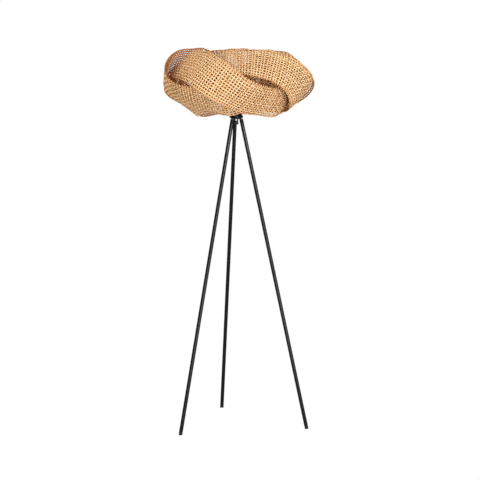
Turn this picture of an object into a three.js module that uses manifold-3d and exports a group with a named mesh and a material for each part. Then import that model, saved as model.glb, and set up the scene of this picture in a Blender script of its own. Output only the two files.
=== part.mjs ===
// Rattan floor lamp: three woven bands around a bulb, on a tubular tripod.
// Millimetres, +Z up. The origin is the middle of the lamp's footprint, on the floor.
import * as THREE from "three";
import { mergeVertices } from "three/addons/utils/BufferGeometryUtils.js";
import Module from "manifold-3d";

// Clearances and smoothness
const seatGap = 0.3;
const cutOverrun = 20;
const fineSides = 24;
const plainSides = 20;
const rodSides = 12;

// Tripod: each leg is two tubes joined end to end
const hubHeight = 1234;
const footCircleRadius = 296.5;
const legCircleRadius = 20.5;
const legSettings = { left: { turn: -48 }, right: { turn: 72 }, back: { turn: 192 } };
const legRadius = 7.5;
const legWall = 1.5;
const legJointHeight = 612;
const joinerLength = 60;
const footLength = 12;
const footStemLength = 20;
const footSink = 0.8;
const footEdge = 1;
const studRadius = 4;
const studReach = 8;
const studPlugLength = 25;

// Hub: a turned disc with a spun cover
const hubFlatRadius = 17;
const hubRadius = 27.4;
const hubConeRise = 6.5;
const hubRimHeight = 3.5;
const coverInset = 0.4;
const coverTopRadius = 17.5;
const coverHeight = 11.7;
const coverWall = 1.2;

// Threaded tube that carries the lead up through the hub, with its nuts
const nippleRadius = 5;
const nippleBore = 3.5;
const nippleProud = 1;
const nutFlats = 14;
const hubNutHeight = 5;
const holderNutHeight = 4;
const glandRadius = 9;
const glandHeight = 16;
const glandEdge = 2;
const glandGrip = 8;
const leadBore = 3.9;

// Lampholder, from the screw shell outwards
const shellBore = 13.6;
const shellWall = 0.8;
const shellAir = 2.1;
const shellHeight = 25;
const sleeveWall = 2.6;
const sleeveSkirt = 8;
const skirtWall = 1.5;
const sleeveRise = 42;
const flangeReach = 6.2;
const flangeRise = 7;
const flangeThickness = 3;
const holderHeight = 26.7;
const holderWall = 2;
const holderEdge = 2;
const insulatorWall = 4.9;
const insulatorRise = 13;
const insulatorDisc = 8;
const shellFloorBore = 7;
const threadDepth = 0.7;
const threadPitch = 3.6;
const springRadius = 3;
const springHeight = 3.7;

// Ring nut that clamps the shade on the lampholder
const ringNutReach = 6.2;
const ringNutHeight = 5;
const ringNutNotches = 16;
const ringNutNotchDepth = 1.2;
const ringNutLandStartShare = 1 / 4;
const ringNutLandEndShare = 3 / 4;

// Bulb
const bulbContactRadius = 5;
const bulbContactHeight = 1.5;
const bulbInsulatorRadius = 11;
const bulbInsulatorHeight = 4;
const bulbCapClearance = 0.5;
const bulbCapHeight = 20.5;
const bulbCapWall = 0.8;
const bulbCollarRadius = 27.8;
const bulbCollarFoot = 4;
const bulbCollarHeight = 36.5;
const bulbCollarWall = 1.5;
const bulbGlassRadius = 30;
const bulbGlassWall = 1;
const bulbGlassSteps = 8;

// Shade frame: a ring on the lampholder, three arms and a hoop inside the bands
const frameRingProud = 4;
const frameRingThickness = 2;
const armRadius = 2.5;
const armOverlap = 1.2;
const armTurns = [16, 140, -103];
const hoopWire = 2.5;
const hoopInset = 10;
const hoopSteps = 60;
const hoopSides = 6;

// Woven bands: each is a closed loop that climbs and falls twice around the shade
const shadeRise = 88.7;
const shadeShift = 1;
const shadeTip = -2.6;
const bandRadius = 241.9;
const bandSquareness = 15.4;
const bandStep = 26.2;
const bandStepRipple = -5.7;
const bandRadiusSkew = -0.5;
const bandClimb = 87.7;
const bandClimbRipple = -9.1;
const bandClimbSkew = -5.5;
const bandWidth = 148;
const bandThickness = 1.6;
const bandCrown = 8.4;
const bandLeanAngle = 51.4;
const bandLeanRippleAngle = -6.4;
const bandLeanFineAngle = 1.3;
const bandLeanStepAngle = -4.6;
const bandSettings = {
  a: { turn: -116, lift: 1.2, shift: -2.3, tip: 1.1, rockAngle: -8.5, swayAngle: -3.2 },
  b: { turn: -56.1, lift: -6.4, shift: 0, tip: 1.1, rockAngle: -2.7, swayAngle: 0.7 },
  c: { turn: 6.7, lift: 1, shift: 6.2, tip: 0.9, rockAngle: 2.9, swayAngle: 0.5 },
};
const bandOpeningsAround = 40;
const bandOpeningsAcross = 4;
const bandStripShare = 0.55;
const crownMiddleShare = 1 / 3;
const nudgeTurn = 2;

// Ties that bind the bands to the hoop and to each other
const tieRadius = 2.2;
const climbTurn = 135;
const bandTieTurn = 147;
const tieAcrossShare = -0.88;
const tieProbe = 5;

const degrees = THREE.MathUtils.degToRad;
const upward = new THREE.Vector3(0, 0, 1);

// Finishes
const finishes = {
  blackMetal: { color: 0x1d1c1c, roughness: 0.42, metalness: 0.55 },
  steel: { color: 0xb9bbbd, roughness: 0.3, metalness: 1 },
  brass: { color: 0xc8a353, roughness: 0.3, metalness: 1 },
  blackPlastic: { color: 0x191919, roughness: 0.5, metalness: 0 },
  rubber: { color: 0x161616, roughness: 0.85, metalness: 0 },
  ceramic: { color: 0xeee9df, roughness: 0.4, metalness: 0 },
  opalGlass: { color: 0xf6f1e6, roughness: 0.25, metalness: 0 },
  bamboo: { color: 0xc89c66, roughness: 0.8, metalness: 0 },
  cane: { color: 0x9b6f3f, roughness: 0.8, metalness: 0 },
};

function addPiece(parent, name, geometry, finish) {
  const material = new THREE.MeshStandardMaterial(finishes[finish]);
  const mesh = new THREE.Mesh(geometry, material);
  mesh.name = name;
  parent.add(mesh);
  return mesh;
}

// Turned pieces: the outline runs bottom, outward, up and back, as [radius, height]
function turned(outline, sides = fineSides) {
  const onAxis = outline[0][0] === 0;
  const loop = onAxis ? outline : [...outline, outline[0]];
  const points = loop.map(([radius, height]) => new THREE.Vector2(radius, height));
  return new THREE.LatheGeometry(points, sides).rotateX(Math.PI / 2);
}

function turnedRod(radius, bottom, top, sides = plainSides) {
  return turned([[0, bottom], [radius, bottom], [radius, top], [0, top]], sides);
}

function turnedTube(bore, radius, bottom, top, sides = plainSides) {
  return turned([[bore, bottom], [radius, bottom], [radius, top], [bore, top]], sides);
}

function rodBetween(start, end, radius) {
  const run = end.clone().sub(start);
  const rod = turnedRod(radius, 0, run.length(), rodSides);
  rod.applyQuaternion(new THREE.Quaternion().setFromUnitVectors(upward, run.normalize()));
  return rod.translate(start.x, start.y, start.z);
}

function hexNut(bottom, height) {
  const corner = nutFlats / 2 / Math.cos(Math.PI / 6);
  const outline = new THREE.Shape();
  for (let side = 0; side < 6; side += 1) {
    const angle = side * Math.PI / 3;
    const point = [corner * Math.cos(angle), corner * Math.sin(angle)];
    if (side === 0) outline.moveTo(...point);
    else outline.lineTo(...point);
  }
  outline.holes.push(new THREE.Path().absarc(0, 0, leadWayRadius, 0, 2 * Math.PI, true));
  const options = { depth: height, bevelEnabled: false, curveSegments: rodSides };
  return new THREE.ExtrudeGeometry(outline, options).translate(0, 0, bottom);
}

// Solids for joins and cuts
const wasm = await Module();
wasm.setup();

function toSolid(geometry) {
  const bare = geometry.clone();
  bare.deleteAttribute("normal");
  bare.deleteAttribute("uv");
  const merged = mergeVertices(bare);
  const corners = merged.index.array;
  const kept = [];
  for (let first = 0; first < corners.length; first += 3) {
    const [a, b, c] = corners.slice(first, first + 3);
    if (a !== b && b !== c && c !== a) kept.push(a, b, c);
  }
  const vertProperties = new Float32Array(merged.attributes.position.array);
  return new wasm.Manifold(new wasm.Mesh({ numProp: 3, vertProperties, triVerts: new Uint32Array(kept) }));
}

function toGeometry(solid) {
  const mesh = solid.getMesh();
  const geometry = new THREE.BufferGeometry();
  geometry.setAttribute("position", new THREE.BufferAttribute(mesh.vertProperties, 3));
  geometry.setIndex(new THREE.BufferAttribute(mesh.triVerts, 1));
  geometry.computeVertexNormals();
  return geometry;
}

function joined(geometries) {
  return toGeometry(geometries.map(toSolid).reduce((whole, next) => whole.add(next)));
}

function cutFrom(geometry, tools) {
  return toGeometry(tools.map(toSolid).reduce((left, tool) => left.subtract(tool), toSolid(geometry)));
}

// Radii that follow from what fits inside
const coverRadius = hubRadius - coverInset;
const leadWayRadius = nippleRadius + seatGap;
const shellCrest = shellBore + threadDepth;
const sleeveBore = shellCrest + shellWall + shellAir;
const sleeveRadius = sleeveBore + sleeveWall;
const skirtRadius = sleeveBore + skirtWall;
const holderBore = skirtRadius + seatGap;
const holderRadius = holderBore + holderWall;
const insulatorBore = sleeveBore - seatGap - insulatorWall;
const flangeRadius = sleeveRadius + flangeReach;
const ringNutRadius = sleeveRadius + ringNutReach;
const frameRingRadius = flangeRadius + frameRingProud;
const bulbCapRadius = shellBore - bulbCapClearance;

// Heights of the stack on the hub
const hubTop = hubHeight + hubConeRise + hubRimHeight;
const coverBottom = hubTop + seatGap;
const coverTop = coverBottom + coverHeight;
const holderBottom = coverTop + seatGap;
const holderTop = holderBottom + holderHeight;
const holderFloor = holderBottom + holderWall;
const flangeTop = holderTop + flangeRise + flangeThickness;
const frameRingBottom = flangeTop + seatGap;
const ringNutBottom = frameRingBottom + frameRingThickness + seatGap;
const insulatorTop = holderTop + insulatorRise;
const shellBottom = insulatorTop + seatGap;
const springTop = shellBottom + springHeight;
const hubNutBottom = hubHeight - seatGap - hubNutHeight;
const glandTop = hubNutBottom - seatGap;
const glandBottom = glandTop - glandHeight;
const holderNutBottom = holderFloor + seatGap;
const holderNutTop = holderNutBottom + holderNutHeight;
const shadeHeight = frameRingBottom + shadeRise;

// Leg axes: lengths along a leg start where its axis meets the floor
const legTilt = Math.atan2(footCircleRadius - legCircleRadius, hubHeight);
const legBore = legRadius - legWall;
const plugRadius = legBore - seatGap;
const legJoint = legJointHeight / Math.cos(legTilt);
const hubEdgeAlong = (footCircleRadius - hubFlatRadius) * Math.sin(legTilt) + hubHeight * Math.cos(legTilt);
const legEnd = hubEdgeAlong - seatGap;

function footGeometry() {
  const outline = [
    [0, -footSink],
    [legRadius - footEdge, -footSink],
    [legRadius, footEdge - footSink],
    [legRadius, footLength],
    [plugRadius, footLength],
    [plugRadius, footLength + footStemLength],
    [0, footLength + footStemLength],
  ];
  const floorBlock = new THREE.BoxGeometry(4 * legRadius, 4 * legRadius, cutOverrun);
  floorBlock.translate(0, 0, -cutOverrun / 2).rotateY(legTilt);
  return cutFrom(turned(outline, plainSides), [floorBlock]);
}

function studGeometry() {
  return turned([
    [0, legEnd - studPlugLength],
    [plugRadius, legEnd - studPlugLength],
    [plugRadius, legEnd],
    [studRadius, legEnd],
    [studRadius, legEnd + studReach],
    [0, legEnd + studReach],
  ], plainSides);
}

function addLeg(lamp, side, turn) {
  const leg = new THREE.Group();
  const axis = new THREE.Group();
  leg.rotation.z = degrees(turn - 90);
  axis.position.x = footCircleRadius;
  axis.rotation.y = -legTilt;
  leg.add(axis);
  lamp.add(leg);
  const tubeBreak = seatGap / 2;
  const lowerTube = turnedTube(legBore, legRadius, footLength + seatGap, legJoint - tubeBreak);
  const upperTube = turnedTube(legBore, legRadius, legJoint + tubeBreak, legEnd);
  const joiner = turnedRod(plugRadius, legJoint - joinerLength / 2, legJoint + joinerLength / 2);
  addPiece(axis, `foot_${side}`, footGeometry(), "rubber");
  addPiece(axis, `leg_lower_${side}`, lowerTube, "blackMetal");
  addPiece(axis, `leg_joiner_${side}`, joiner, "steel");
  addPiece(axis, `leg_upper_${side}`, upperTube, "blackMetal");
  addPiece(axis, `leg_stud_${side}`, studGeometry(), "steel");
  return axis;
}

// Hub, its cover, the threaded tube and the nuts and gland on it
function addHub(lamp, legAxes) {
  const disc = turned([
    [leadWayRadius, hubHeight],
    [hubFlatRadius, hubHeight],
    [hubRadius, hubHeight + hubConeRise],
    [hubRadius, hubTop],
    [leadWayRadius, hubTop],
  ]);
  lamp.updateMatrixWorld(true);
  const drills = legAxes.map((axis) => {
    const drill = turnedRod(studRadius + seatGap, legEnd - cutOverrun, legEnd + cutOverrun);
    return drill.applyMatrix4(axis.matrixWorld);
  });
  addPiece(lamp, "hub_disc", cutFrom(disc, drills), "blackMetal");
  addPiece(lamp, "hub_cover", turned([
    [coverRadius - coverWall, coverBottom],
    [coverRadius, coverBottom],
    [coverTopRadius, coverTop],
    [leadWayRadius, coverTop],
    [leadWayRadius, coverTop - coverWall],
    [coverTopRadius - coverWall, coverTop - coverWall],
  ]), "blackMetal");
  const nippleBottom = glandTop - glandGrip;
  const nippleTop = holderNutTop + nippleProud;
  addPiece(lamp, "threaded_tube", turnedTube(nippleBore, nippleRadius, nippleBottom, nippleTop), "steel");
  addPiece(lamp, "hub_nut", hexNut(hubNutBottom, hubNutHeight), "steel");
  addPiece(lamp, "lead_gland", turned([
    [leadBore, glandBottom],
    [glandRadius - glandEdge, glandBottom],
    [glandRadius, glandBottom + glandEdge],
    [glandRadius, glandTop],
    [leadWayRadius, glandTop],
    [leadWayRadius, nippleBottom - seatGap],
    [leadBore, nippleBottom - seatGap],
  ], plainSides), "blackPlastic");
}

// Heights and radii of a rolled screw thread, bottom to top
function threadRows(radius, bottom, top) {
  const turns = Math.max(1, Math.floor((top - bottom) / threadPitch));
  const pitch = (top - bottom) / turns;
  const rows = [];
  for (let turn = 0; turn < turns; turn += 1) {
    rows.push([radius - threadDepth, bottom + turn * pitch]);
    rows.push([radius, bottom + (turn + 1 / 2) * pitch]);
  }
  rows.push([radius - threadDepth, top]);
  return rows;
}

function addLampholder(lamp) {
  addPiece(lamp, "lampholder_cup", turned([
    [leadWayRadius, holderBottom],
    [holderRadius - holderEdge, holderBottom],
    [holderRadius, holderBottom + holderEdge],
    [holderRadius, holderTop],
    [holderBore, holderTop],
    [holderBore, holderFloor],
    [leadWayRadius, holderFloor],
  ]), "blackPlastic");
  addPiece(lamp, "lampholder_nut", hexNut(holderNutBottom, holderNutHeight), "steel");
  addPiece(lamp, "lampholder_sleeve", turned([
    [sleeveBore, holderTop - sleeveSkirt],
    [skirtRadius, holderTop - sleeveSkirt],
    [skirtRadius, holderTop + seatGap],
    [sleeveRadius, holderTop + seatGap],
    [sleeveRadius, holderTop + flangeRise],
    [flangeRadius, holderTop + flangeRise],
    [flangeRadius, flangeTop],
    [sleeveRadius, flangeTop],
    [sleeveRadius, holderTop + sleeveRise],
    [sleeveBore, holderTop + sleeveRise],
  ]), "blackPlastic");
  addPiece(lamp, "socket_insulator", turned([
    [0, insulatorTop - insulatorDisc],
    [insulatorBore, insulatorTop - insulatorDisc],
    [insulatorBore, holderNutBottom],
    [sleeveBore - seatGap, holderNutBottom],
    [sleeveBore - seatGap, insulatorTop],
    [0, insulatorTop],
  ]), "ceramic");
  const shellTop = shellBottom + shellHeight;
  const inside = threadRows(shellCrest, shellBottom + shellWall, shellTop);
  const outside = inside.map(([radius, height]) => [radius + shellWall, height]);
  addPiece(lamp, "screw_shell", turned([
    [shellFloorBore, shellBottom],
    [shellBore + shellWall, shellBottom],
    ...outside,
    ...inside.reverse(),
    [shellFloorBore, shellBottom + shellWall],
  ], plainSides), "brass");
  addPiece(lamp, "centre_contact", turnedRod(springRadius, shellBottom, springTop), "brass");
}

function addRingNut(lamp) {
  const outline = new THREE.Shape();
  const notch = 2 * Math.PI / ringNutNotches;
  for (let count = 0; count < ringNutNotches; count += 1) {
    for (const [share, radius] of [
      [0, ringNutRadius - ringNutNotchDepth],
      [ringNutLandStartShare, ringNutRadius],
      [ringNutLandEndShare, ringNutRadius],
    ]) {
      const angle = (count + share) * notch;
      const point = [radius * Math.cos(angle), radius * Math.sin(angle)];
      if (count === 0 && share === 0) outline.moveTo(...point);
      else outline.lineTo(...point);
    }
  }
  outline.holes.push(new THREE.Path().absarc(0, 0, sleeveRadius + seatGap, 0, 2 * Math.PI, true));
  const options = { depth: ringNutHeight, bevelEnabled: false, curveSegments: fineSides / 2 };
  const geometry = new THREE.ExtrudeGeometry(outline, options).translate(0, 0, ringNutBottom);
  addPiece(lamp, "shade_ring_nut", geometry, "blackPlastic");
}

// Bulb: contact, black glass, screw cap, collar and globe, from the bottom up
function addBulb(lamp) {
  const contactBottom = springTop + seatGap;
  const contactTop = contactBottom + bulbContactHeight;
  const insulatorBottom = contactTop + seatGap;
  const blackTop = insulatorBottom + bulbInsulatorHeight;
  const capBottom = blackTop + seatGap;
  const capTop = capBottom + bulbCapHeight;
  const collarBottom = capTop + seatGap;
  const collarTop = collarBottom + bulbCollarHeight;
  addPiece(lamp, "bulb_contact", turnedRod(bulbContactRadius, contactBottom, contactTop), "brass");
  addPiece(lamp, "bulb_insulator", turned([
    [0, insulatorBottom],
    [bulbContactRadius, insulatorBottom],
    [bulbInsulatorRadius, blackTop],
    [0, blackTop],
  ], plainSides), "blackPlastic");
  const outside = threadRows(bulbCapRadius, capBottom, capTop);
  const inside = outside.map(([radius, height]) => [radius - bulbCapWall, height]);
  addPiece(lamp, "bulb_cap", turned([...outside, ...inside.reverse()], plainSides), "brass");
  const capRim = bulbCapRadius - threadDepth;
  addPiece(lamp, "bulb_collar", turned([
    [capRim - bulbCollarWall, collarBottom],
    [capRim, collarBottom],
    [capRim, collarBottom + bulbCollarFoot],
    [bulbCollarRadius, collarTop],
    [bulbCollarRadius - bulbCollarWall, collarTop],
    [capRim - bulbCollarWall, collarBottom + bulbCollarFoot],
  ]), "ceramic");
  const mouth = Math.asin((bulbCollarRadius - bulbCollarWall / 2) / bulbGlassRadius);
  const globeMiddle = collarTop + seatGap + bulbGlassRadius * Math.cos(mouth);
  const arc = [];
  for (let step = 0; step <= bulbGlassSteps; step += 1) {
    arc.push(mouth - Math.PI / 2 + (Math.PI - mouth) * step / bulbGlassSteps);
  }
  const shell = (radius) => arc.map((angle) => {
    return [radius * Math.max(0, Math.cos(angle)), globeMiddle + radius * Math.sin(angle)];
  });
  const outer = shell(bulbGlassRadius);
  const inner = shell(bulbGlassRadius - bulbGlassWall).reverse();
  addPiece(lamp, "bulb_globe", turned([...outer, ...inner]), "opalGlass");
}

// Middle line, breadth direction and outward direction of a band at a turn around the shade
function bandMiddle(turn, phase) {
  const u = 2 * (turn - phase);
  const radius = bandRadius - bandSquareness * Math.cos(2 * u) + bandStep * Math.sin(u)
    + bandStepRipple * Math.sin(3 * u) + bandRadiusSkew * Math.sin(2 * u);
  const height = bandClimb * Math.cos(u) + bandClimbRipple * Math.cos(3 * u)
    + bandClimbSkew * Math.sin(2 * u);
  return new THREE.Vector3(radius * Math.sin(turn), -radius * Math.cos(turn), height);
}

function bandFrame(turn, setting) {
  const phase = degrees(setting.turn);
  const u = 2 * (turn - phase);
  const nudge = degrees(nudgeTurn);
  const middle = bandMiddle(turn, phase);
  const along = bandMiddle(turn + nudge, phase).sub(bandMiddle(turn - nudge, phase)).normalize();
  const lean = degrees(bandLeanAngle * Math.cos(u) + bandLeanRippleAngle * Math.cos(3 * u)
    + bandLeanFineAngle * Math.cos(5 * u) + bandLeanStepAngle * Math.sin(u)
    + setting.rockAngle * Math.cos(turn - phase) + setting.swayAngle * Math.sin(turn - phase));
  const radial = new THREE.Vector3(Math.sin(turn), -Math.cos(turn), 0);
  const across = upward.clone().multiplyScalar(Math.cos(lean)).addScaledVector(radial, -Math.sin(lean));
  across.addScaledVector(along, -across.dot(along)).normalize();
  const outward = along.clone().cross(across).normalize();
  return { middle, across, outward };
}

function bandPoint(frame, share, depth) {
  const crown = bandCrown * (crownMiddleShare - share * share);
  return frame.middle.clone()
    .addScaledVector(frame.across, share * bandWidth / 2)
    .addScaledVector(frame.outward, crown + depth);
}

// Both edges of each strip of a row that starts at a place and repeats at a pitch
function stripEdges(count, start, pitch) {
  const edges = [];
  for (let strip = 0; strip < count; strip += 1) {
    edges.push(start + strip * pitch, start + (strip + bandStripShare) * pitch);
  }
  return edges;
}

// A curved sheet with a grid of openings between the strips that run along it and across it
function bandGeometry(setting) {
  const turnPitch = 2 * Math.PI / bandOpeningsAround;
  const firstTurn = degrees(setting.turn) - turnPitch * bandStripShare / 2;
  const sharePitch = 2 / (bandOpeningsAcross + bandStripShare);
  const turns = stripEdges(bandOpeningsAround, firstTurn, turnPitch);
  const shares = stripEdges(bandOpeningsAcross + 1, -1, sharePitch);
  const positions = [];
  for (const turn of turns) {
    const frame = bandFrame(turn, setting);
    for (const depth of [bandThickness / 2, -bandThickness / 2]) {
      for (const share of shares) positions.push(...bandPoint(frame, share, depth));
    }
  }
  const corner = (face, row, column) => (row % turns.length * 2 + face) * shares.length + column;
  const isOpen = (row, column) => {
    const beyond = column < 0 || column > shares.length - 2;
    return beyond || (row % 2 !== 0 && column % 2 !== 0);
  };
  const corners = [];
  const addQuad = (a, b, c, d) => corners.push(a, b, c, a, c, d);
  for (let row = 0; row < turns.length; row += 1) {
    for (let column = 0; column < shares.length - 1; column += 1) {
      if (isOpen(row, column)) continue;
      const cell = [[row, column], [row + 1, column], [row + 1, column + 1], [row, column + 1]];
      const outer = cell.map((place) => corner(0, ...place));
      const inner = cell.map((place) => corner(1, ...place));
      addQuad(...outer);
      addQuad(inner[0], inner[3], inner[2], inner[1]);
      const beside = [[row, column - 1], [row + 1, column], [row, column + 1], [row - 1, column]];
      for (const [side, place] of beside.entries()) {
        const next = (side + 1) % cell.length;
        if (isOpen(...place)) addQuad(outer[next], outer[side], inner[side], inner[next]);
      }
    }
  }
  const geometry = new THREE.BufferGeometry();
  geometry.setAttribute("position", new THREE.Float32BufferAttribute(positions, 3));
  geometry.setIndex(corners);
  geometry.computeVertexNormals();
  return geometry;
}

function addBands(lamp) {
  const weave = new THREE.Group();
  weave.position.set(shadeShift, 0, shadeHeight);
  weave.rotation.x = degrees(shadeTip);
  lamp.add(weave);
  const bands = {};
  for (const [letter, setting] of Object.entries(bandSettings)) {
    const band = addPiece(weave, `woven_band_${letter}`, bandGeometry(setting), "bamboo");
    band.position.set(setting.shift, 0, setting.lift);
    band.rotation.y = degrees(-setting.tip);
    bands[letter] = band;
  }
  return bands;
}

// The hoop stands inside the bands where they climb closest to the middle
const innerCrossing = bandRadius + bandSquareness - bandStep + bandStepRipple;
const hoopRadius = innerCrossing - hoopInset;

function hoopPoint(turn) {
  const x = shadeShift + hoopRadius * Math.sin(turn);
  return new THREE.Vector3(x, -hoopRadius * Math.cos(turn), shadeHeight);
}

function addShadeFrame(lamp) {
  const armRoot = frameRingRadius - armOverlap;
  const ringMiddle = frameRingBottom + frameRingThickness / 2;
  const ringTop = frameRingBottom + frameRingThickness;
  const ringBore = sleeveRadius + 2 * seatGap;
  const parts = [turnedTube(ringBore, frameRingRadius, frameRingBottom, ringTop, fineSides)];
  const hoop = new THREE.TorusGeometry(hoopRadius, hoopWire, hoopSides, hoopSteps);
  parts.push(hoop.translate(shadeShift, 0, shadeHeight));
  for (const turn of armTurns.map(degrees)) {
    const root = new THREE.Vector3(armRoot * Math.sin(turn), -armRoot * Math.cos(turn), ringMiddle);
    parts.push(rodBetween(root, hoopPoint(turn), armRadius));
  }
  addPiece(lamp, "shade_frame", joined(parts), "blackMetal");
}

// How far a tie can run from its start before any part of its end meets a band
function tieReach(start, direction, bands) {
  const side = direction.clone().cross(upward).normalize().multiplyScalar(tieRadius);
  const rise = side.clone().cross(direction);
  const starts = [start];
  for (let count = 0; count < rodSides; count += 1) {
    const angle = 2 * Math.PI * count / rodSides;
    const rim = start.clone().addScaledVector(side, Math.cos(angle));
    starts.push(rim.addScaledVector(rise, Math.sin(angle)));
  }
  const hits = starts.flatMap((from) => {
    return new THREE.Raycaster(from, direction).intersectObjects(bands, false).slice(0, 1);
  });
  return Math.min(...hits.map((hit) => hit.distance)) - seatGap;
}

function addTies(lamp, bands) {
  lamp.updateMatrixWorld(true);
  const targets = Object.values(bands);
  for (const [letter, setting] of Object.entries(bandSettings)) {
    for (const half of [1, 2]) {
      const climb = degrees(setting.turn + climbTurn + 180 * half);
      const outward = new THREE.Vector3(Math.sin(climb), -Math.cos(climb), 0);
      const wire = hoopPoint(climb);
      const reach = tieReach(wire, outward, targets);
      const start = wire.clone().addScaledVector(outward, hoopWire + seatGap);
      const hoopTie = rodBetween(start, wire.clone().addScaledVector(outward, reach), tieRadius);
      addPiece(lamp, `hoop_tie_${letter}${half}`, hoopTie, "cane");

      const frame = bandFrame(degrees(setting.turn + bandTieTurn + 180 * half), setting);
      const matrix = bands[letter].matrixWorld;
      const probe = bandPoint(frame, tieAcrossShare, tieProbe).applyMatrix4(matrix);
      const across = frame.outward.clone().transformDirection(matrix);
      const back = across.clone().negate();
      const inner = probe.clone().addScaledVector(back, tieReach(probe, back, targets));
      const outer = probe.clone().addScaledVector(across, tieReach(probe, across, targets));
      addPiece(lamp, `band_tie_${letter}${half}`, rodBetween(inner, outer, tieRadius), "cane");
    }
  }
}

const lamp = new THREE.Group();
const legAxes = Object.entries(legSettings).map(([side, setting]) => {
  return addLeg(lamp, side, setting.turn);
});
addHub(lamp, legAxes);
addLampholder(lamp);
addRingNut(lamp);
addBulb(lamp);
addShadeFrame(lamp);
addTies(lamp, addBands(lamp));

// The footprint's middle goes to the origin
const footprint = new THREE.Box3().setFromObject(lamp, true);
const middle = footprint.getCenter(new THREE.Vector3());
lamp.position.set(-middle.x, -middle.y, -footprint.min.z);

export default lamp;
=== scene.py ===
# %% [markdown]
# # A rattan floor lamp
# Three black tube legs meet in a small turned hub. A lampholder stands on the hub, and a shade of
# three wide bamboo bands is clamped on it with a ring nut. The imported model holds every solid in
# its place, in metres, with the floor at zero. So the script measures those solids and builds its
# finished pieces on them, and nothing is placed by eye.

# %% Load the frame
import math

import bmesh
import bpy
from mathutils import Matrix, Vector


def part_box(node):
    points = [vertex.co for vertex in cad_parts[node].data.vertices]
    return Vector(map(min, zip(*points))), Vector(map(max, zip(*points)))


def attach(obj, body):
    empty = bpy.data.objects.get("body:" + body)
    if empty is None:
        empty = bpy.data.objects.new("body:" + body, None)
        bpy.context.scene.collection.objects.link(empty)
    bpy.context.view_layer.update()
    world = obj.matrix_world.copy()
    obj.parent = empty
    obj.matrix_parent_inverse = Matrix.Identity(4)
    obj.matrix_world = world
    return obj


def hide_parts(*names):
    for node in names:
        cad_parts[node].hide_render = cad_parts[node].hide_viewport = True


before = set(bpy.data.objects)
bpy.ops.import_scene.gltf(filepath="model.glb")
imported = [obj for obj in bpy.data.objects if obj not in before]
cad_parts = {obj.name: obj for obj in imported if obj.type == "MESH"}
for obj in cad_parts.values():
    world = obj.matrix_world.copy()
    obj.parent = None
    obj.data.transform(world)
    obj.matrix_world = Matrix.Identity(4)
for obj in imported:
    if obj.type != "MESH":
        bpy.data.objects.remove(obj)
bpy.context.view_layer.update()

# %% [markdown]
# Small tools come first. A lamp is mostly turned metal and plastic, so one function turns an
# outline around the upright axis, and one eases its corners, because no real edge is a knife
# edge. Blender could do this with a Screw modifier, but a short loop over rings gives clean quads
# and leaves nothing to apply.

# %% Units and the lamp's axis
MM = 0.001
CREASE = math.radians(38)
UP = Vector((0, 0, 1))
LEGS = ("left", "right", "back")
# How many flat sides stand for a round, and how much of an edge an eased corner may take
ROUND_SMALL, ROUND_MEDIUM, ROUND_LARGE = 48, 72, 96
EASE_LIMIT = 0.45

low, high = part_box("threaded_tube")
AXIS = Vector(((low.x + high.x) / 2, (low.y + high.y) / 2, 0))
print("axis in mm:", [round(value / MM, 2) for value in AXIS])


# %% Turned shapes
def soften(mesh):
    """Shade a mesh smooth, with a hard line wherever two faces meet at more than CREASE"""
    shape = bmesh.new()
    shape.from_mesh(mesh)
    for face in shape.faces:
        face.smooth = True
    for edge in shape.edges:
        edge.smooth = len(edge.link_faces) == 2 and edge.calc_face_angle() < CREASE
    shape.to_mesh(mesh)
    shape.free()
    return mesh


def eased(outline, radius, steps=3):
    """Round every corner of a closed outline of (radius, height) that is off the axis"""
    rounded = []
    for before, corner, after in zip(outline[-1:] + outline[:-1], outline, outline[1:] + outline[:1]):
        if corner[0] <= 0:
            rounded.append(corner)
            continue
        middle = Vector(corner)
        into = Vector(before) - middle
        out = Vector(after) - middle
        start = middle + into.normalized() * min(radius, into.length * EASE_LIMIT)
        end = middle + out.normalized() * min(radius, out.length * EASE_LIMIT)
        for step in range(steps + 1):
            share = step / steps
            point = start.lerp(middle, share).lerp(middle.lerp(end, share), share)
            rounded.append((point.x, point.y))
    return rounded


def turned(name, outline, sides=ROUND_SMALL):
    """Turn a closed outline, which runs bottom, outward, up and back, around the Z axis"""
    points, rings, faces = [], [], []
    for radius, height in outline:
        count = sides if radius > 0 else 1
        rings.append(range(len(points), len(points) + count))
        for step in range(count):
            angle = 2 * math.pi * step / sides
            points.append((radius * math.cos(angle), radius * math.sin(angle), height))
    for lower, upper in zip(rings, rings[1:] + rings[:1]):
        if len(lower) == len(upper) == 1:
            continue
        for step in range(sides):
            near, far = step, (step + 1) % sides
            corners = [lower[near % len(lower)], lower[far % len(lower)]]
            corners += [upper[far % len(upper)], upper[near % len(upper)]]
            faces.append(list(dict.fromkeys(corners)))
    mesh = bpy.data.meshes.new(name)
    mesh.from_pydata(points, [], faces)
    return soften(mesh)


# %% Measuring solids and placing pieces
def radius_bottom_top(node):
    """Outer radius, bottom and top of an upright turned solid"""
    low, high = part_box(node)
    return (high.x - low.x) / 2, low.z, high.z


def rod_along(node, along):
    """A straight round solid whose direction is known: its two end points and its radius"""
    low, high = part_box(node)
    middle = (low + high) / 2
    arms = [vertex.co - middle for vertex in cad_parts[node].data.vertices]
    reach = max(arm.dot(along) for arm in arms)
    radius = max((arm - along * arm.dot(along)).length for arm in arms)
    return middle - along * reach, middle + along * reach, radius


def add_piece(name, mesh, finish, body, *nodes):
    """Put a finished mesh in the scene. It rides on its body and stands for its solids"""
    mesh.name = name
    mesh.materials.clear()
    mesh.materials.append(finish)
    piece = bpy.data.objects.new(name, mesh)
    bpy.context.scene.collection.objects.link(piece)
    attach(piece, body)
    if nodes:
        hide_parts(*nodes)
    return piece


def draw_in(vertex, depth):
    """Move a point of a turned mesh towards its axis"""
    share = 1 - depth / vertex.co.xy.length
    vertex.co.x *= share
    vertex.co.y *= share


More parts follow.
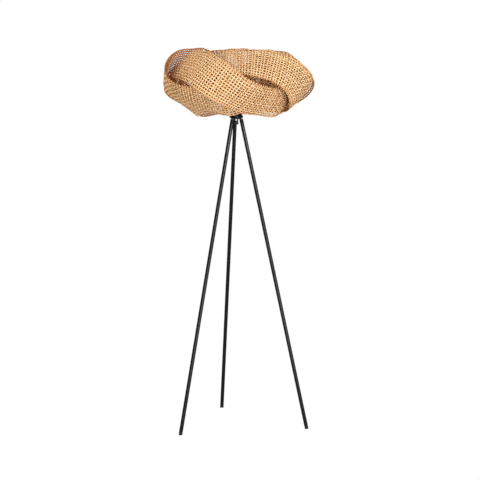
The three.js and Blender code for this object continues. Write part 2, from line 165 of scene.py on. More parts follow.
def on_axis(mesh):
    """Move a mesh that was made around the origin on to the lamp's axis"""
    mesh.transform(Matrix.Translation(AXIS))
    return mesh


# %% [markdown]
# The camera stands where the photograph was taken from: a little above the shade, 7.25 m away, with a
# long lens, looking slightly down. The photograph's background is blown out to plain white. So the
# camera sees the room and the floor as white, while the lamp gets a dimmer light from a white room
# over a grey floor, which leaves the shade's inside dark, as it is there.

# %% Camera
FRAME_PIXELS = 480
AXIS_PIXEL = 236.25
FOCAL_PIXELS = 1828.6
CAMERA_DISTANCE = 7.25
CAMERA_HEIGHT = 1.719
AIM_HEIGHT = 0.75
SENSOR = 36.0
FARTHEST = 200

pitch = math.atan2(CAMERA_HEIGHT - AIM_HEIGHT, CAMERA_DISTANCE)
aside = (FRAME_PIXELS / 2 - AXIS_PIXEL) * CAMERA_DISTANCE / FOCAL_PIXELS
lens = bpy.data.cameras.new("camera")
lens.sensor_width = SENSOR
lens.lens = FOCAL_PIXELS * SENSOR / FRAME_PIXELS
lens.clip_end = FARTHEST
camera = bpy.data.objects.new("camera", lens)
camera.location = AXIS + Vector((aside, -CAMERA_DISTANCE, CAMERA_HEIGHT))
camera.rotation_euler = (math.pi / 2 - pitch, 0, 0)
bpy.context.scene.collection.objects.link(camera)
bpy.context.scene.camera = camera
print("lens in mm:", round(lens.lens, 1), "looking down by", round(math.degrees(pitch), 2), "degrees")


# %% Colours and nodes
def colour(hex_code, alpha=1.0):
    """An sRGB hex colour as Blender's linear red, green, blue and alpha"""
    channels = [int(hex_code[place:place + 2], 16) / 255 for place in (1, 3, 5)]
    linear = [value / 12.92 if value <= 0.04045 else ((value + 0.055) / 1.055) ** 2.4 for value in channels]
    return (*linear, alpha)


def add_node(tree, kind, inputs=None, **settings):
    """Add a node with its settings. An input takes a value, a socket, or a node for its first output"""
    node = tree.nodes.new(kind)
    for name, value in settings.items():
        setattr(node, name, value)
    for key, value in (inputs or {}).items():
        socket = node.inputs[key]
        if isinstance(value, bpy.types.Node):
            value = next(output for output in value.outputs if output.enabled)
        if isinstance(value, bpy.types.NodeSocket):
            tree.links.new(value, socket)
        else:
            socket.default_value = value
    return node


def new_finish(name, **values):
    """A material with one Principled shader, whose plain values are set on its own sockets"""
    material = bpy.data.materials.new(name)
    material.use_nodes = True
    tree = material.node_tree
    tree.nodes.clear()
    shader = add_node(tree, "ShaderNodeBsdfPrincipled")
    for key, value in values.items():
        shader.inputs[key.replace("_", " ")].default_value = value
    add_node(tree, "ShaderNodeOutputMaterial", {"Surface": shader})
    return material, tree, shader


def coat(tree, shader, share, dark, light, bump, rough=None):
    """Colour a shader from dark to light by a share, and give it its bump and its roughness"""
    tint = add_node(tree, "ShaderNodeMix", {0: share, 6: colour(dark), 7: colour(light)}, data_type="RGBA")
    tree.links.new(tint.outputs[2], shader.inputs["Base Color"])
    tree.links.new(bump.outputs["Normal"], shader.inputs["Normal"])
    if rough:
        tree.links.new(rough.outputs["Result"], shader.inputs["Roughness"])


# %% [markdown]
# A soft light lights plain surfaces and is also mirrored in glossy ones, and Blender can part the two.
# The bamboo needs light from all around, so most lights reach plain surfaces only. The black
# legs show little but what they mirror: a white wall in front and a grey one on the right, which
# give each tube a black side and a grey side.

# %% Floor
FLOOR_RADIUS = 90.0
FLOOR_SIDES = 96

ring = [2 * math.pi * step / FLOOR_SIDES for step in range(FLOOR_SIDES)]
floor_mesh = bpy.data.meshes.new("floor")
floor_points = [(FLOOR_RADIUS * math.cos(angle), FLOOR_RADIUS * math.sin(angle), 0) for angle in ring]
floor_mesh.from_pydata(floor_points, [], [range(FLOOR_SIDES)])
floor = bpy.data.objects.new("floor", floor_mesh)
bpy.context.scene.collection.objects.link(floor)
paint, tree, shader = new_finish("grey studio paint", Roughness=0.9, Specular_IOR_Level=0.1)
shader.inputs["Base Color"].default_value = colour("#7A7A7A")
seen = add_node(tree, "ShaderNodeLightPath").outputs["Is Camera Ray"]
blown_out = add_node(tree, "ShaderNodeEmission", {"Color": colour("#FFFFFF"), "Strength": 1.0})
surface = add_node(tree, "ShaderNodeMixShader", {0: seen, 1: shader, 2: blown_out})
tree.links.new(surface.outputs[0], tree.nodes["Material Output"].inputs["Surface"])
floor_mesh.materials.append(paint)
print("floor", 2 * FLOOR_RADIUS, "m across")


# %% Studio lights
PLAIN, GLOSS = "diffuse", "glossy"


def add_light(name, place, width, height, power, aim_height=1.25, on=(PLAIN, GLOSS)):
    """A soft studio light that faces the lamp at a height, and shows on plain surfaces, gloss or both"""
    data = bpy.data.lights.new(name, "AREA")
    data.shape = "RECTANGLE"
    data.size = width
    data.size_y = height
    data.energy = power
    aim = Vector((0, 0, aim_height))
    light = bpy.data.objects.new(name, data)
    light.location = place
    light.rotation_euler = (aim - Vector(place)).to_track_quat("-Z", "Y").to_euler()
    light.visible_camera = False
    light.visible_diffuse = PLAIN in on
    light.visible_glossy = GLOSS in on
    bpy.context.scene.collection.objects.link(light)


add_light("key", (2.0, -3.8, 3.0), 1.6, 1.6, 134)
add_light("fill", (-2.6, -3.6, 2.8), 2.6, 2.0, 80, on=[PLAIN])
add_light("low left", (-3.0, -2.8, 0.5), 1.8, 1.4, 46, on=[PLAIN])
add_light("rear", (0.0, 4.2, 2.6), 3.0, 2.0, 170, on=[PLAIN])
add_light("left rear", (-3.8, 1.5, 2.2), 2.0, 2.0, 100, on=[PLAIN])
add_light("right rear", (3.8, 1.5, 2.2), 2.0, 2.0, 100, on=[PLAIN])
add_light("top", (0.2, -0.8, 4.4), 1.4, 1.4, 25, aim_height=1.3)
add_light("low fill", (0.7, -2.4, 0.15), 5.0, 0.8, 112, aim_height=1.3, on=[PLAIN])
add_light("white wall", (1.2, -3.9, 1.3), 4.8, 2.8, 105, aim_height=1.0, on=[GLOSS])
add_light("grey wall", (3.6, -0.8, 1.2), 3.6, 2.4, 18, aim_height=1.0, on=[GLOSS])
print("lights:", [light.name for light in bpy.data.lights])

# %% The white room
ROOM_LIGHT = 0.26

world = bpy.data.worlds.new("studio")
bpy.context.scene.world = world
world.use_nodes = True
world.cycles_visibility.glossy = False
tree = world.node_tree
tree.nodes.clear()
seen = add_node(tree, "ShaderNodeLightPath").outputs["Is Camera Ray"]
strength = add_node(tree, "ShaderNodeMapRange", {"Value": seen, "To Min": ROOM_LIGHT, "To Max": 1.0})
room = add_node(tree, "ShaderNodeBackground", {"Color": colour("#FFFFFF"), "Strength": strength})
add_node(tree, "ShaderNodeOutputWorld", {"Surface": room})
bpy.context.scene.view_settings.view_transform = "Standard"
print("the camera sees white, and the lamp gets", ROOM_LIGHT, "of it")

# %% [markdown]
# The stand's finish is satin black powder coat on steel tube. Powder melts and levels in an oven,
# which leaves a very shallow orange peel about a millimetre across. So the colour stays even, and the
# roughness and a faint bump carry the pattern.

# %% Satin black powder coat
PEEL = 1.4 * MM
HANDLING = 60 * MM

powder_coat, tree, shader = new_finish("satin black powder coat", Roughness=0.24, Specular_IOR_Level=0.4)
place = add_node(tree, "ShaderNodeTexCoord").outputs["Object"]
peel = add_node(tree, "ShaderNodeTexNoise", {"Vector": place, "Scale": 1 / PEEL, "Detail": 2.0})
handling = add_node(tree, "ShaderNodeTexNoise", {"Vector": place, "Scale": 1 / HANDLING, "Detail": 4.0})
worn = add_node(tree, "ShaderNodeMapRange", {
    "Value": handling, "From Min": 0.3, "From Max": 0.7, "To Min": 0.2, "To Max": 0.28,
})
bump = add_node(tree, "ShaderNodeBump", {"Height": peel, "Strength": 0.06, "Distance": 0.1 * MM})
coat(tree, shader, handling, "#070708", "#0D0D0E", bump, worn)

# %% [markdown]
# The small hidden metal parts are bought in: zinc-plated steel for nuts, studs and the threaded
# tube, and bright brass for the contacts. Both are metals, so the colour is the reflection's
# colour and the IOR keeps its default. Fine turning marks run around the axis, so a stretched
# noise on the height gives the lines.

# %% Zinc-plated steel and brass
# Real lathe marks are finer than this, but would not show
TURNING_MARK = 0.5 * MM
DRAWN_OUT = 0.04
TARNISH = 9 * MM


def turned_metal(name, dark, light, rough):
    """A metal with lathe marks one above the other and a little tarnish"""
    material, tree, shader = new_finish(name, Metallic=1.0, Roughness=rough)
    place = add_node(tree, "ShaderNodeTexCoord").outputs["Object"]
    squeeze = add_node(tree, "ShaderNodeMapping", {"Vector": place, "Scale": (DRAWN_OUT, DRAWN_OUT, 1.0)})
    marks = add_node(tree, "ShaderNodeTexNoise", {
        "Vector": squeeze, "Scale": 1 / TURNING_MARK, "Detail": 3.0,
    })
    tarnish = add_node(tree, "ShaderNodeTexNoise", {"Vector": place, "Scale": 1 / TARNISH, "Detail": 4.0})
    bump = add_node(tree, "ShaderNodeBump", {"Height": marks, "Strength": 0.15, "Distance": 0.05 * MM})
    worn = add_node(tree, "ShaderNodeMapRange", {
        "Value": tarnish, "To Min": rough - 0.08, "To Max": rough + 0.12,
    })
    coat(tree, shader, tarnish, dark, light, bump, worn)
    return material


zinc = turned_metal("zinc-plated steel", "#9A9DA1", "#C9CBCD", 0.34)
brass = turned_metal("bright brass", "#B48A3C", "#DDB866", 0.28)

# %% [markdown]
# Black plastic, rubber, porcelain and the bulb's white plastic are all moulded. A mould leaves a skin
# with a fine even grain, and each material differs in how wide it spreads a highlight: glazed
# porcelain least, rubber most. One function makes all four from their colours, grain and gloss. A
# real grain is too fine to show, so it is drawn coarser, about a millimetre across.

# %% Moulded finishes
MOTTLE = 14 * MM


def moulded(name, dark, light, rough, grain, depth, **values):
    """A moulded skin: mottled by a few percent, with an even grain of the given size"""
    material, tree, shader = new_finish(name, Roughness=rough, **values)
    place = add_node(tree, "ShaderNodeTexCoord").outputs["Object"]
    skin = add_node(tree, "ShaderNodeTexNoise", {"Vector": place, "Scale": 1 / grain, "Detail": 3.0})
    mottle = add_node(tree, "ShaderNodeTexNoise", {"Vector": place, "Scale": 1 / MOTTLE, "Detail": 3.0})
    worn = add_node(tree, "ShaderNodeMapRange", {
        "Value": mottle, "To Min": rough - 0.05, "To Max": rough + 0.07,
    })
    bump = add_node(tree, "ShaderNodeBump", {"Height": skin, "Strength": depth, "Distance": 0.08 * MM})
    coat(tree, shader, mottle, dark, light, bump, worn)
    return material


phenolic = moulded("black phenolic plastic", "#121212", "#1C1B1A", 0.38, 0.9 * MM, 0.15)
rubber = moulded("black rubber", "#0F0F0F", "#1A1A19", 0.78, 0.7 * MM, 0.35)
porcelain = moulded("glazed porcelain", "#E9E3D6", "#F4F0E6", 0.18, 4 * MM, 0.05, Coat_Weight=0.6)
bulb_plastic = moulded("white bulb plastic", "#E8E6E0", "#F3F1EC", 0.36, 1.2 * MM, 0.08)

# %% [markdown]
# The bulb's globe is opal glass: clear glass flashed with a thin white layer. Light goes in and comes
# out evenly, so it looks like white wax with a hard gloss. Subsurface scattering of a few
# millimetres with a clear coat says that more cheaply than real transmission.

# %% Opal glass
FLASHING = 22 * MM

opal, tree, shader = new_finish(
    "opal glass", Roughness=0.16, Coat_Weight=0.4,
    Subsurface_Weight=0.5, Subsurface_Scale=4 * MM, Subsurface_Radius=(1, 1, 1),
)
place = add_node(tree, "ShaderNodeTexCoord").outputs["Object"]
flashing = add_node(tree, "ShaderNodeTexNoise", {"Vector": place, "Scale": 1 / FLASHING, "Detail": 2.0})
bump = add_node(tree, "ShaderNodeBump", {"Height": flashing, "Strength": 0.05, "Distance": 0.2 * MM})
coat(tree, shader, flashing, "#F0ECE2", "#FAF8F2", bump)

# %% [markdown]
# The shade is split bamboo. Each slat is its own stick: it has its own tone, fine fibres that run
# along it, and now and then the dark ring of a node. The outside keeps the pale skin, and the
# inside is the browner split face. The weaving step stores five attributes on the mesh, "tone",
# "along", "edge", "skin" and "rim", and the material reads them, so the fibres follow every curve.
# The colour is then laid on in coats: skin or split face, the rings, the cut sides, the darker wood of
#  the rims, and last a painted shade: dark brown where another mat lies close behind and shades it.

# %% Split bamboo
# Real fibres are about a third as wide as this, but would not show
FIBRE = 0.9 * MM
FIBRE_LENGTH = 70 * MM
HALF_SLAT = 3.2 * MM
NODE_SPACING = 0.31
NODE_SHARE = 0.014
NODE_DEPTH = 0.55
STRAND_SPREAD = 40.0
RING_SPREAD = 7.3
TONE_SHARE, FIBRE_SHARE, PATCH_SHARE = 0.4, 0.5, 0.3
CUT_STARTS, CUT_CORNER = 0.4, 0.866
CUT_SIDE = 0.8
RIM_INSIDE, RIM_OUTSIDE = 0.9, 0.35
# Painted shade: how near another mat must lie, and the occlusion range over which it turns the slats dark
# brown
CLOSE_BEHIND = 70 * MM
SHUT_IN, OPEN_AIR = 0.42, 0.7
INSIDE_CLEAR = 0.85


def split_bamboo(name, outer, inner, ring, cut, rim, painted_shade_colour):
    """Bamboo slats, with painted shade where another mat lies close. The first two finishes are pairs of sRGB
    colours, dark and light
    """
    material, tree, shader = new_finish(name, Roughness=0.55, Specular_IOR_Level=0.35)
    tone, along, edge, skin, bound = [
        add_node(tree, "ShaderNodeAttribute", attribute_name=word).outputs["Fac"]
        for word in ("tone", "along", "edge", "skin", "rim")
    ]
    # Fibres are a noise drawn out along the slat, and each slat has its own stretch of it
    length = add_node(tree, "ShaderNodeMath", {0: along, 1: FIBRE_LENGTH}, operation="DIVIDE")
    breadth = add_node(tree, "ShaderNodeMath", {0: edge, 1: HALF_SLAT / FIBRE}, operation="MULTIPLY")
    strand = add_node(tree, "ShaderNodeMath", {0: tone, 1: STRAND_SPREAD}, operation="MULTIPLY")
    spot = add_node(tree, "ShaderNodeCombineXYZ", {"X": length, "Y": breadth, "Z": strand})
    fibres = add_node(tree, "ShaderNodeTexNoise", {
        "Vector": spot, "Scale": 1.0, "Detail": 5.0, "Roughness": 0.6,
    })
    patch_length = add_node(tree, "ShaderNodeMath", {0: length, 1: 0.5}, operation="MULTIPLY")
    patch_spot = add_node(tree, "ShaderNodeCombineXYZ", {"X": patch_length, "Z": strand})
    patches = add_node(tree, "ShaderNodeTexNoise", {"Vector": patch_spot, "Scale": 1.0, "Detail": 2.0})
    shading = add_node(tree, "ShaderNodeMath", {0: tone, 1: TONE_SHARE}, operation="MULTIPLY")
    for layer, share in ((fibres, FIBRE_SHARE), (patches, PATCH_SHARE)):
        shading = add_node(tree, "ShaderNodeMath", {0: layer, 1: share, 2: shading}, operation="MULTIPLY_ADD")
    shading = add_node(tree, "ShaderNodeMapRange", {"Value": shading, "From Min": 0.1, "From Max": 1.1})
    faces = [
        add_node(tree, "ShaderNodeMix", {0: shading, 6: colour(dark), 7: colour(light)}, data_type="RGBA")
        for dark, light in (inner, outer)
    ]
    # A node: a narrow dark ring once in every NODE_SPACING of slat, at its own place on each one
    rings = add_node(tree, "ShaderNodeMath", {0: along, 1: NODE_SPACING}, operation="DIVIDE")
    rings = add_node(tree, "ShaderNodeMath", {0: tone, 1: RING_SPREAD, 2: rings}, operation="MULTIPLY_ADD")
    for operation, value in (("FRACT", 0.0), ("LESS_THAN", NODE_SHARE), ("MULTIPLY", NODE_DEPTH)):
        rings = add_node(tree, "ShaderNodeMath", {0: rings, 1: value}, operation=operation)
    # Both long sides of a slat are cut, so they show the brown inner wood
    sides = add_node(tree, "ShaderNodeMath", {0: edge}, operation="ABSOLUTE")
    sides = add_node(tree, "ShaderNodeMapRange", {
        "Value": sides, "From Min": CUT_STARTS, "From Max": CUT_CORNER, "To Max": CUT_SIDE,
    })
    # The slats that bind the rims are darker wood, most of all on the split side
    rims = add_node(tree, "ShaderNodeMapRange", {"Value": skin, "To Min": RIM_INSIDE, "To Max": RIM_OUTSIDE})
    rims = add_node(tree, "ShaderNodeMath", {0: bound, 1: rims}, operation="MULTIPLY")
    # Painted shade: where another mat lies close over the skin side, an occlusion test paints the slats dark
    # brown
    clear = add_node(tree, "ShaderNodeAmbientOcclusion", {"Distance": CLOSE_BEHIND}, samples=8).outputs["AO"]
    clear = add_node(tree, "ShaderNodeMapRange", {"Value": clear, "From Min": SHUT_IN, "From Max": OPEN_AIR})
    within = add_node(tree, "ShaderNodeMath", {
        0: skin, 1: -INSIDE_CLEAR, 2: INSIDE_CLEAR,
    }, operation="MULTIPLY_ADD")
    clear = add_node(tree, "ShaderNodeMath", {0: clear, 1: within}, operation="MAXIMUM")
    painted_shade_share = add_node(tree, "ShaderNodeMath", {0: 1.0, 1: clear}, operation="SUBTRACT")
    coats = [(skin, faces[1].outputs[2])]
    coats += [(rings, colour(ring)), (sides, colour(cut)), (rims, colour(rim)), (painted_shade_share, colour(painted_shade_colour))]
    base = faces[0]
    for share, over in coats:
        base = add_node(tree, "ShaderNodeMix", {0: share, 6: base.outputs[2], 7: over}, data_type="RGBA")
    bump = add_node(tree, "ShaderNodeBump", {"Height": fibres, "Strength": 0.35, "Distance": 0.12 * MM})
    gloss = add_node(tree, "ShaderNodeMapRange", {"Value": fibres, "To Min": 0.42, "To Max": 0.68})
    tree.links.new(base.outputs[2], shader.inputs["Base Color"])
    tree.links.new(gloss.outputs["Result"], shader.inputs["Roughness"])
    tree.links.new(bump.outputs["Normal"], shader.inputs["Normal"])
    return material


# The last colour is a painted shade, laid on where one mat lies close behind another
bamboo = split_bamboo(
    "split bamboo", outer=("#CC9F6A", "#EFCB9D"), inner=("#B96A28", "#EDA75C"),
    ring="#6E4A26", cut="#8A5220", rim="#BC7A3C", painted_shade_colour="#6C360A",
)

# %% [markdown]
# The ties are bound with cane, the thin peel of the rattan stem. It is the same kind of plant
# fibre, but darker and glossier, because its skin faces out. A noise mottles and roughens it, drawn
# coarser than the real fibres, so that it shows.

# %% Bound cane
CANE_FIBRE = 1.2 * MM

cane, tree, shader = new_finish("bound cane", Roughness=0.4, Specular_IOR_Level=0.5)
place = add_node(tree, "ShaderNodeTexCoord").outputs["Object"]
peel = add_node(tree, "ShaderNodeTexNoise", {"Vector": place, "Scale": 1 / CANE_FIBRE, "Detail": 4.0})
bump = add_node(tree, "ShaderNodeBump", {"Height": peel, "Strength": 0.3, "Distance": 0.1 * MM})
coat(tree, shader, peel, "#8A5A2B", "#C0905A", bump)
finishes = (powder_coat, zinc, brass, phenolic, rubber, porcelain, bulb_plastic, opal, bamboo, cane)
print("finishes:", [finish.name for finish in finishes])

# %% [markdown]
# Each leg is two lengths of 15 mm tube joined end to end, with a rubber plug in the foot and a
# threaded stud in the top. The solids of a leg are straight, so the line through the middles of
# its two tubes is its axis. Everything is turned upright around the origin and then laid on that
# line.

# %% A foot, and how a piece is laid along a leg
FOOT_HEIGHT = 12 * MM
FOOT_SINK = 0.8 * MM
FOOT_LIP = 0.5 * MM
STEM_INSET = 1.8 * MM
STEM_LENGTH = 20 * MM
FOOT_RINGS = 3
FOOT_GROOVE = 0.3


def middle_of(node):
    """Centre of a solid's box"""
    low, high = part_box(node)
    return (low + high) / 2


def laid_along(mesh, start, along):
    """Turn an upright mesh so that its Z axis points along, and stand its origin at start"""
    mesh.transform(Matrix.Translation(start) @ UP.rotation_difference(along).to_matrix().to_4x4())
    return mesh


def foot_mesh(radius):
    """A rubber foot with shallow grooves, and the stem that fills the tube's end"""
    height = FOOT_HEIGHT + FOOT_SINK
    outline = [(0, 0), (radius - FOOT_LIP, 0)]
    for step in range(FOOT_RINGS):
        bottom = height * (step + FOOT_GROOVE) / FOOT_RINGS
        top = height * (step + 1) / FOOT_RINGS
        outline += [(radius, bottom), (radius, top - FOOT_LIP), (radius - FOOT_LIP, top)]
    stem = radius - STEM_INSET
    outline += [(stem, height), (stem, height + STEM_LENGTH), (0, height + STEM_LENGTH)]
    return turned("foot", eased(outline, FOOT_LIP / 2))


# %% Legs and feet
TUBE_WALL = 1.5 * MM
TUBE_EDGE = 0.9 * MM
SEAT_GAP = 0.3 * MM

for side in LEGS:
    along = (middle_of(f"leg_upper_{side}") - middle_of(f"leg_lower_{side}")).normalized()
    for level in ("upper", "lower"):
        start, end, radius = rod_along(f"leg_{level}_{side}", along)
        length = (end - start).length
        outline = [(radius - TUBE_WALL, 0), (radius, 0), (radius, length), (radius - TUBE_WALL, length)]
        tube = laid_along(turned("tube", eased(outline, TUBE_EDGE)), start, along)
        add_piece(f"{level}_tube_{side}", tube, powder_coat, "stand", f"leg_{level}_{side}")
    tread = start - along * (SEAT_GAP + FOOT_HEIGHT + FOOT_SINK)
    foot = laid_along(foot_mesh(radius), tread, along)
    for vertex in foot.vertices:
        vertex.co.z = max(vertex.co.z, 0)
    add_piece(f"rubber_foot_{side}", foot, rubber, "stand", f"foot_{side}")
print("tube diameter in mm:", round(2 * radius / MM, 2))

# %% [markdown]
# The hub is a turned steel disc with a shallow cone below, where the legs screw in, and a spun cover
# above. Each is one outline turned around the axis. The drilled leg holes lie above the tube
# ends, out of sight, so the visible disc goes without them.

# %% Hub disc and cover
HUB_FLAT = 17 * MM
HUB_CONE = 6.5 * MM
COVER_TOP = 17.5 * MM
COVER_SHEET = 1.2 * MM
NIPPLE_HOLE = 5.3 * MM
TURNED_EDGE = 0.8 * MM

radius, bottom, top = radius_bottom_top("hub_disc")
disc = turned("disc", eased([
    (NIPPLE_HOLE, bottom), (HUB_FLAT, bottom), (radius, bottom + HUB_CONE), (radius, top), (NIPPLE_HOLE, top),
], TURNED_EDGE), ROUND_LARGE)
add_piece("turned_hub", on_axis(disc), powder_coat, "stand", "hub_disc")

radius, bottom, top = radius_bottom_top("hub_cover")
bead = TURNED_EDGE
cover = turned("cover", eased([
    (radius - COVER_SHEET, bottom), (radius, bottom), (radius, bottom + 2 * bead),
    (radius - bead, bottom + 3 * bead), (COVER_TOP, top), (NIPPLE_HOLE, top),
    (NIPPLE_HOLE, top - COVER_SHEET), (COVER_TOP - COVER_SHEET, top - COVER_SHEET),
], TURNED_EDGE), ROUND_LARGE)
add_piece("spun_cover", on_axis(cover), powder_coat, "stand", "hub_cover")
print("cover from mm:", round(bottom / MM, 1), "to", round(top / MM, 1))

# %% [markdown]
# The gland under the hub grips the lead. It is a black plastic nut with ribs for the fingers, so its
# outline is turned, and a wave around the axis draws its lower part in between the ribs.

# %% Lead gland
GLAND_EDGE = 2 * MM
LEAD_HOLE = 3.9 * MM
GLAND_RIBS = 18
RIB_DEPTH = 0.6 * MM
GLAND_COLLAR = 4.5 * MM
GLAND_SEAT = 8 * MM
SMALL_EDGE = 0.4 * MM

radius, bottom, top = radius_bottom_top("lead_gland")
gland = turned("gland", eased([
    (LEAD_HOLE, bottom), (radius - GLAND_EDGE, bottom), (radius, bottom + GLAND_EDGE),
    (radius, top - GLAND_COLLAR), (radius - RIB_DEPTH, top - GLAND_COLLAR),
    (radius - RIB_DEPTH, top), (NIPPLE_HOLE, top),
    (NIPPLE_HOLE, bottom + GLAND_SEAT), (LEAD_HOLE, bottom + GLAND_SEAT),
], SMALL_EDGE), 6 * GLAND_RIBS)
for vertex in gland.vertices:
    wave = 0.5 - 0.5 * math.cos(GLAND_RIBS * math.atan2(vertex.co.y, vertex.co.x))
    if vertex.co.xy.length > radius - RIB_DEPTH / 2 and vertex.co.z < top - GLAND_COLLAR:
        draw_in(vertex, wave * RIB_DEPTH)
add_piece("ribbed_gland", on_axis(gland), phenolic, "stand", "lead_gland")
print("gland:", GLAND_RIBS, "ribs on", round(2 * radius / MM, 1), "mm")

# %% [markdown]
# The lampholder is black phenolic: a cup, and a sleeve that drops into it and carries a fixed flange
# and a coarse thread. The shade's ring rests on the flange, and the ring nut runs on the
# thread. A screw thread is a helix, so its valley climbs one pitch while it goes once around.

# %% Screw threads
def threaded(name, inner, outer, bottom, top, pitch, depth, rows_per_turn=6):
    """A tube, plain inside, with a wave outside that climbs one pitch a turn and fades at both ends"""
    turns = max(1, round((top - bottom) / pitch))
    rows = turns * rows_per_turn
    outline = [(inner, bottom)]
    outline += [(outer, bottom + (top - bottom) * row / rows) for row in range(rows + 1)]
    outline += [(inner, top)]
    mesh = turned(name, outline, ROUND_MEDIUM)
    for vertex in mesh.vertices:
        turn = math.atan2(vertex.co.y, vertex.co.x) / (2 * math.pi)
        level = (vertex.co.z - bottom) / (top - bottom)
        fade = min(1, 6 * level, 6 * (1 - level))
        valley = (0.5 - 0.5 * math.cos(2 * math.pi * (level * turns - turn))) * depth * fade
        if vertex.co.xy.length >= (inner + outer) / 2:
            draw_in(vertex, valley)
    return soften(mesh)


def joined_mesh(name, meshes):
    """Several meshes as one, each left closed"""
    whole = bmesh.new()
    for mesh in meshes:
        whole.from_mesh(mesh)
    joined = bpy.data.meshes.new(name)
    whole.to_mesh(joined)
    whole.free()
    return joined


# %% Lampholder cup and sleeve
CUP_WALL = 2 * MM
GROOVE = 0.7 * MM
GROOVE_DROP = 4 * MM
HOLDER_EDGE = 0.5 * MM
SLEEVE_BORE = 17.2 * MM
SLEEVE_RADIUS = 19.8 * MM
SKIRT_RADIUS = 18.7 * MM
FLANGE_RISE = 7 * MM
FLANGE_THICKNESS = 3 * MM
THREAD_PITCH = 3 * MM
THREAD_DEPTH = 0.9 * MM
THREAD_RELIEF = 1 * MM

radius, bottom, top = radius_bottom_top("lampholder_cup")
groove = top - GROOVE_DROP
cup = turned("cup", eased([
    (NIPPLE_HOLE, bottom), (radius - CUP_WALL, bottom), (radius, bottom + CUP_WALL),
    (radius, groove - GROOVE), (radius - GROOVE, groove), (radius, groove + GROOVE), (radius, top),
    (radius - CUP_WALL, top), (radius - CUP_WALL, bottom + CUP_WALL), (NIPPLE_HOLE, bottom + CUP_WALL),
], HOLDER_EDGE), ROUND_MEDIUM)
add_piece("holder_cup", on_axis(cup), phenolic, "stand", "lampholder_cup")

flange_radius, skirt_bottom, sleeve_top = radius_bottom_top("lampholder_sleeve")
flange_bottom = top + FLANGE_RISE
flange_top = flange_bottom + FLANGE_THICKNESS
thread_bottom = flange_top + THREAD_RELIEF
sleeve = turned("sleeve", eased([
    (SLEEVE_BORE, skirt_bottom), (SKIRT_RADIUS, skirt_bottom), (SKIRT_RADIUS, top + SEAT_GAP),
    (SLEEVE_RADIUS, top + SEAT_GAP), (SLEEVE_RADIUS, flange_bottom), (flange_radius, flange_bottom),
    (flange_radius, flange_top), (SLEEVE_RADIUS, flange_top), (SLEEVE_RADIUS, thread_bottom),
    (SLEEVE_BORE, thread_bottom),
], HOLDER_EDGE), ROUND_MEDIUM)
thread = threaded("thread", SLEEVE_BORE, SLEEVE_RADIUS, thread_bottom, sleeve_top, THREAD_PITCH, THREAD_DEPTH)
sleeve = joined_mesh("sleeve", [sleeve, thread])
add_piece("holder_sleeve", on_axis(sleeve), phenolic, "stand", "lampholder_sleeve")
print("flange at mm:", round(flange_top / MM, 1))

# %% [markdown]
# The ring nut clamps the shade. Its rim has notches for the fingertips, so a wave around the
# axis draws the turned rim in.

# %% Ring nut
NOTCHES = 16
NOTCH_DEPTH = 1.2 * MM
NUT_EDGE = 0.9 * MM

radius, bottom, top = radius_bottom_top("shade_ring_nut")
bore = SLEEVE_RADIUS + SEAT_GAP
outline = [(bore, bottom), (radius, bottom), (radius, top), (bore, top)]
ring = turned("ring", eased(outline, NUT_EDGE), 8 * NOTCHES)
for vertex in ring.vertices:
    wave = max(0, math.cos(NOTCHES * math.atan2(vertex.co.y, vertex.co.x))) ** 2
    if vertex.co.xy.length > (bore + radius) / 2:
        draw_in(vertex, wave * NOTCH_DEPTH)
add_piece("notched_ring_nut", on_axis(soften(ring)), phenolic, "ring_nut", "shade_ring_nut")
print("ring nut:", NOTCHES, "notches on", round(2 * radius / MM, 1), "mm")

# %% [markdown]
# The bulb lifts out with its whole body: contact, black insulator, threaded cap, white plastic
# collar and opal globe. The cap's thread is the same helix as the lampholder's, pressed in
# thin brass.

# %% Bulb
CAP_WALL = 0.8 * MM
CAP_PITCH = 3.6 * MM
COLLAR_WALL = 1.5 * MM
COLLAR_FOOT = 4 * MM
COLLAR_GROOVE = 0.6 * MM
COLLAR_BELLY = 1.5 * MM
COLLAR_RIM = 2 * MM
COLLAR_EDGE = 1.2 * MM
CAP_TUCK = 0.7 * MM
GLASS_WALL = 1 * MM
GLASS_STEPS = 20

radius, bottom, top = radius_bottom_top("bulb_cap")
cap = threaded("cap", radius - 2 * CAP_WALL, radius, bottom, top, CAP_PITCH, CAP_WALL)
add_piece("screw_cap", on_axis(cap), brass, "bulb", "bulb_cap")

neck = radius - CAP_TUCK
radius, bottom, top = radius_bottom_top("bulb_collar")
waist = bottom + COLLAR_FOOT
collar = turned("collar", eased([
    (neck - COLLAR_WALL, bottom), (neck, bottom), (neck, waist - COLLAR_GROOVE),
    (neck + COLLAR_GROOVE, waist), ((neck + radius) / 2 + COLLAR_BELLY, (waist + top) / 2),
    (radius, top - COLLAR_RIM), (radius, top), (radius - COLLAR_WALL, top), (neck - COLLAR_WALL, waist),
], COLLAR_EDGE, 5), ROUND_MEDIUM)
add_piece("bulb_collar_shell", on_axis(collar), bulb_plastic, "bulb", "bulb_collar")

radius, bottom, top = radius_bottom_top("bulb_globe")
centre = top - radius
mouth = math.asin((centre - bottom) / radius)
arc = [-mouth + (math.pi / 2 + mouth) * step / GLASS_STEPS for step in range(GLASS_STEPS + 1)]
outer = [(radius * math.cos(angle), centre + radius * math.sin(angle)) for angle in arc[:-1]] + [(0, top)]
within = radius - GLASS_WALL
inner = [(within * math.cos(angle), centre + within * math.sin(angle)) for angle in arc[:-1]]
globe = turned("globe", outer + [(0, top - GLASS_WALL)] + inner[::-1], ROUND_MEDIUM)
add_piece("opal_globe", on_axis(globe), opal, "bulb", "bulb_globe")
print("globe diameter in mm:", round(2 * radius / MM, 1))

# %% [markdown]
# The parts that nobody sees are bought in and plain: joiners, studs, nuts, the threaded tube, the
# contacts and the insulators. Their solids already have the right shape, so they only get a finish.

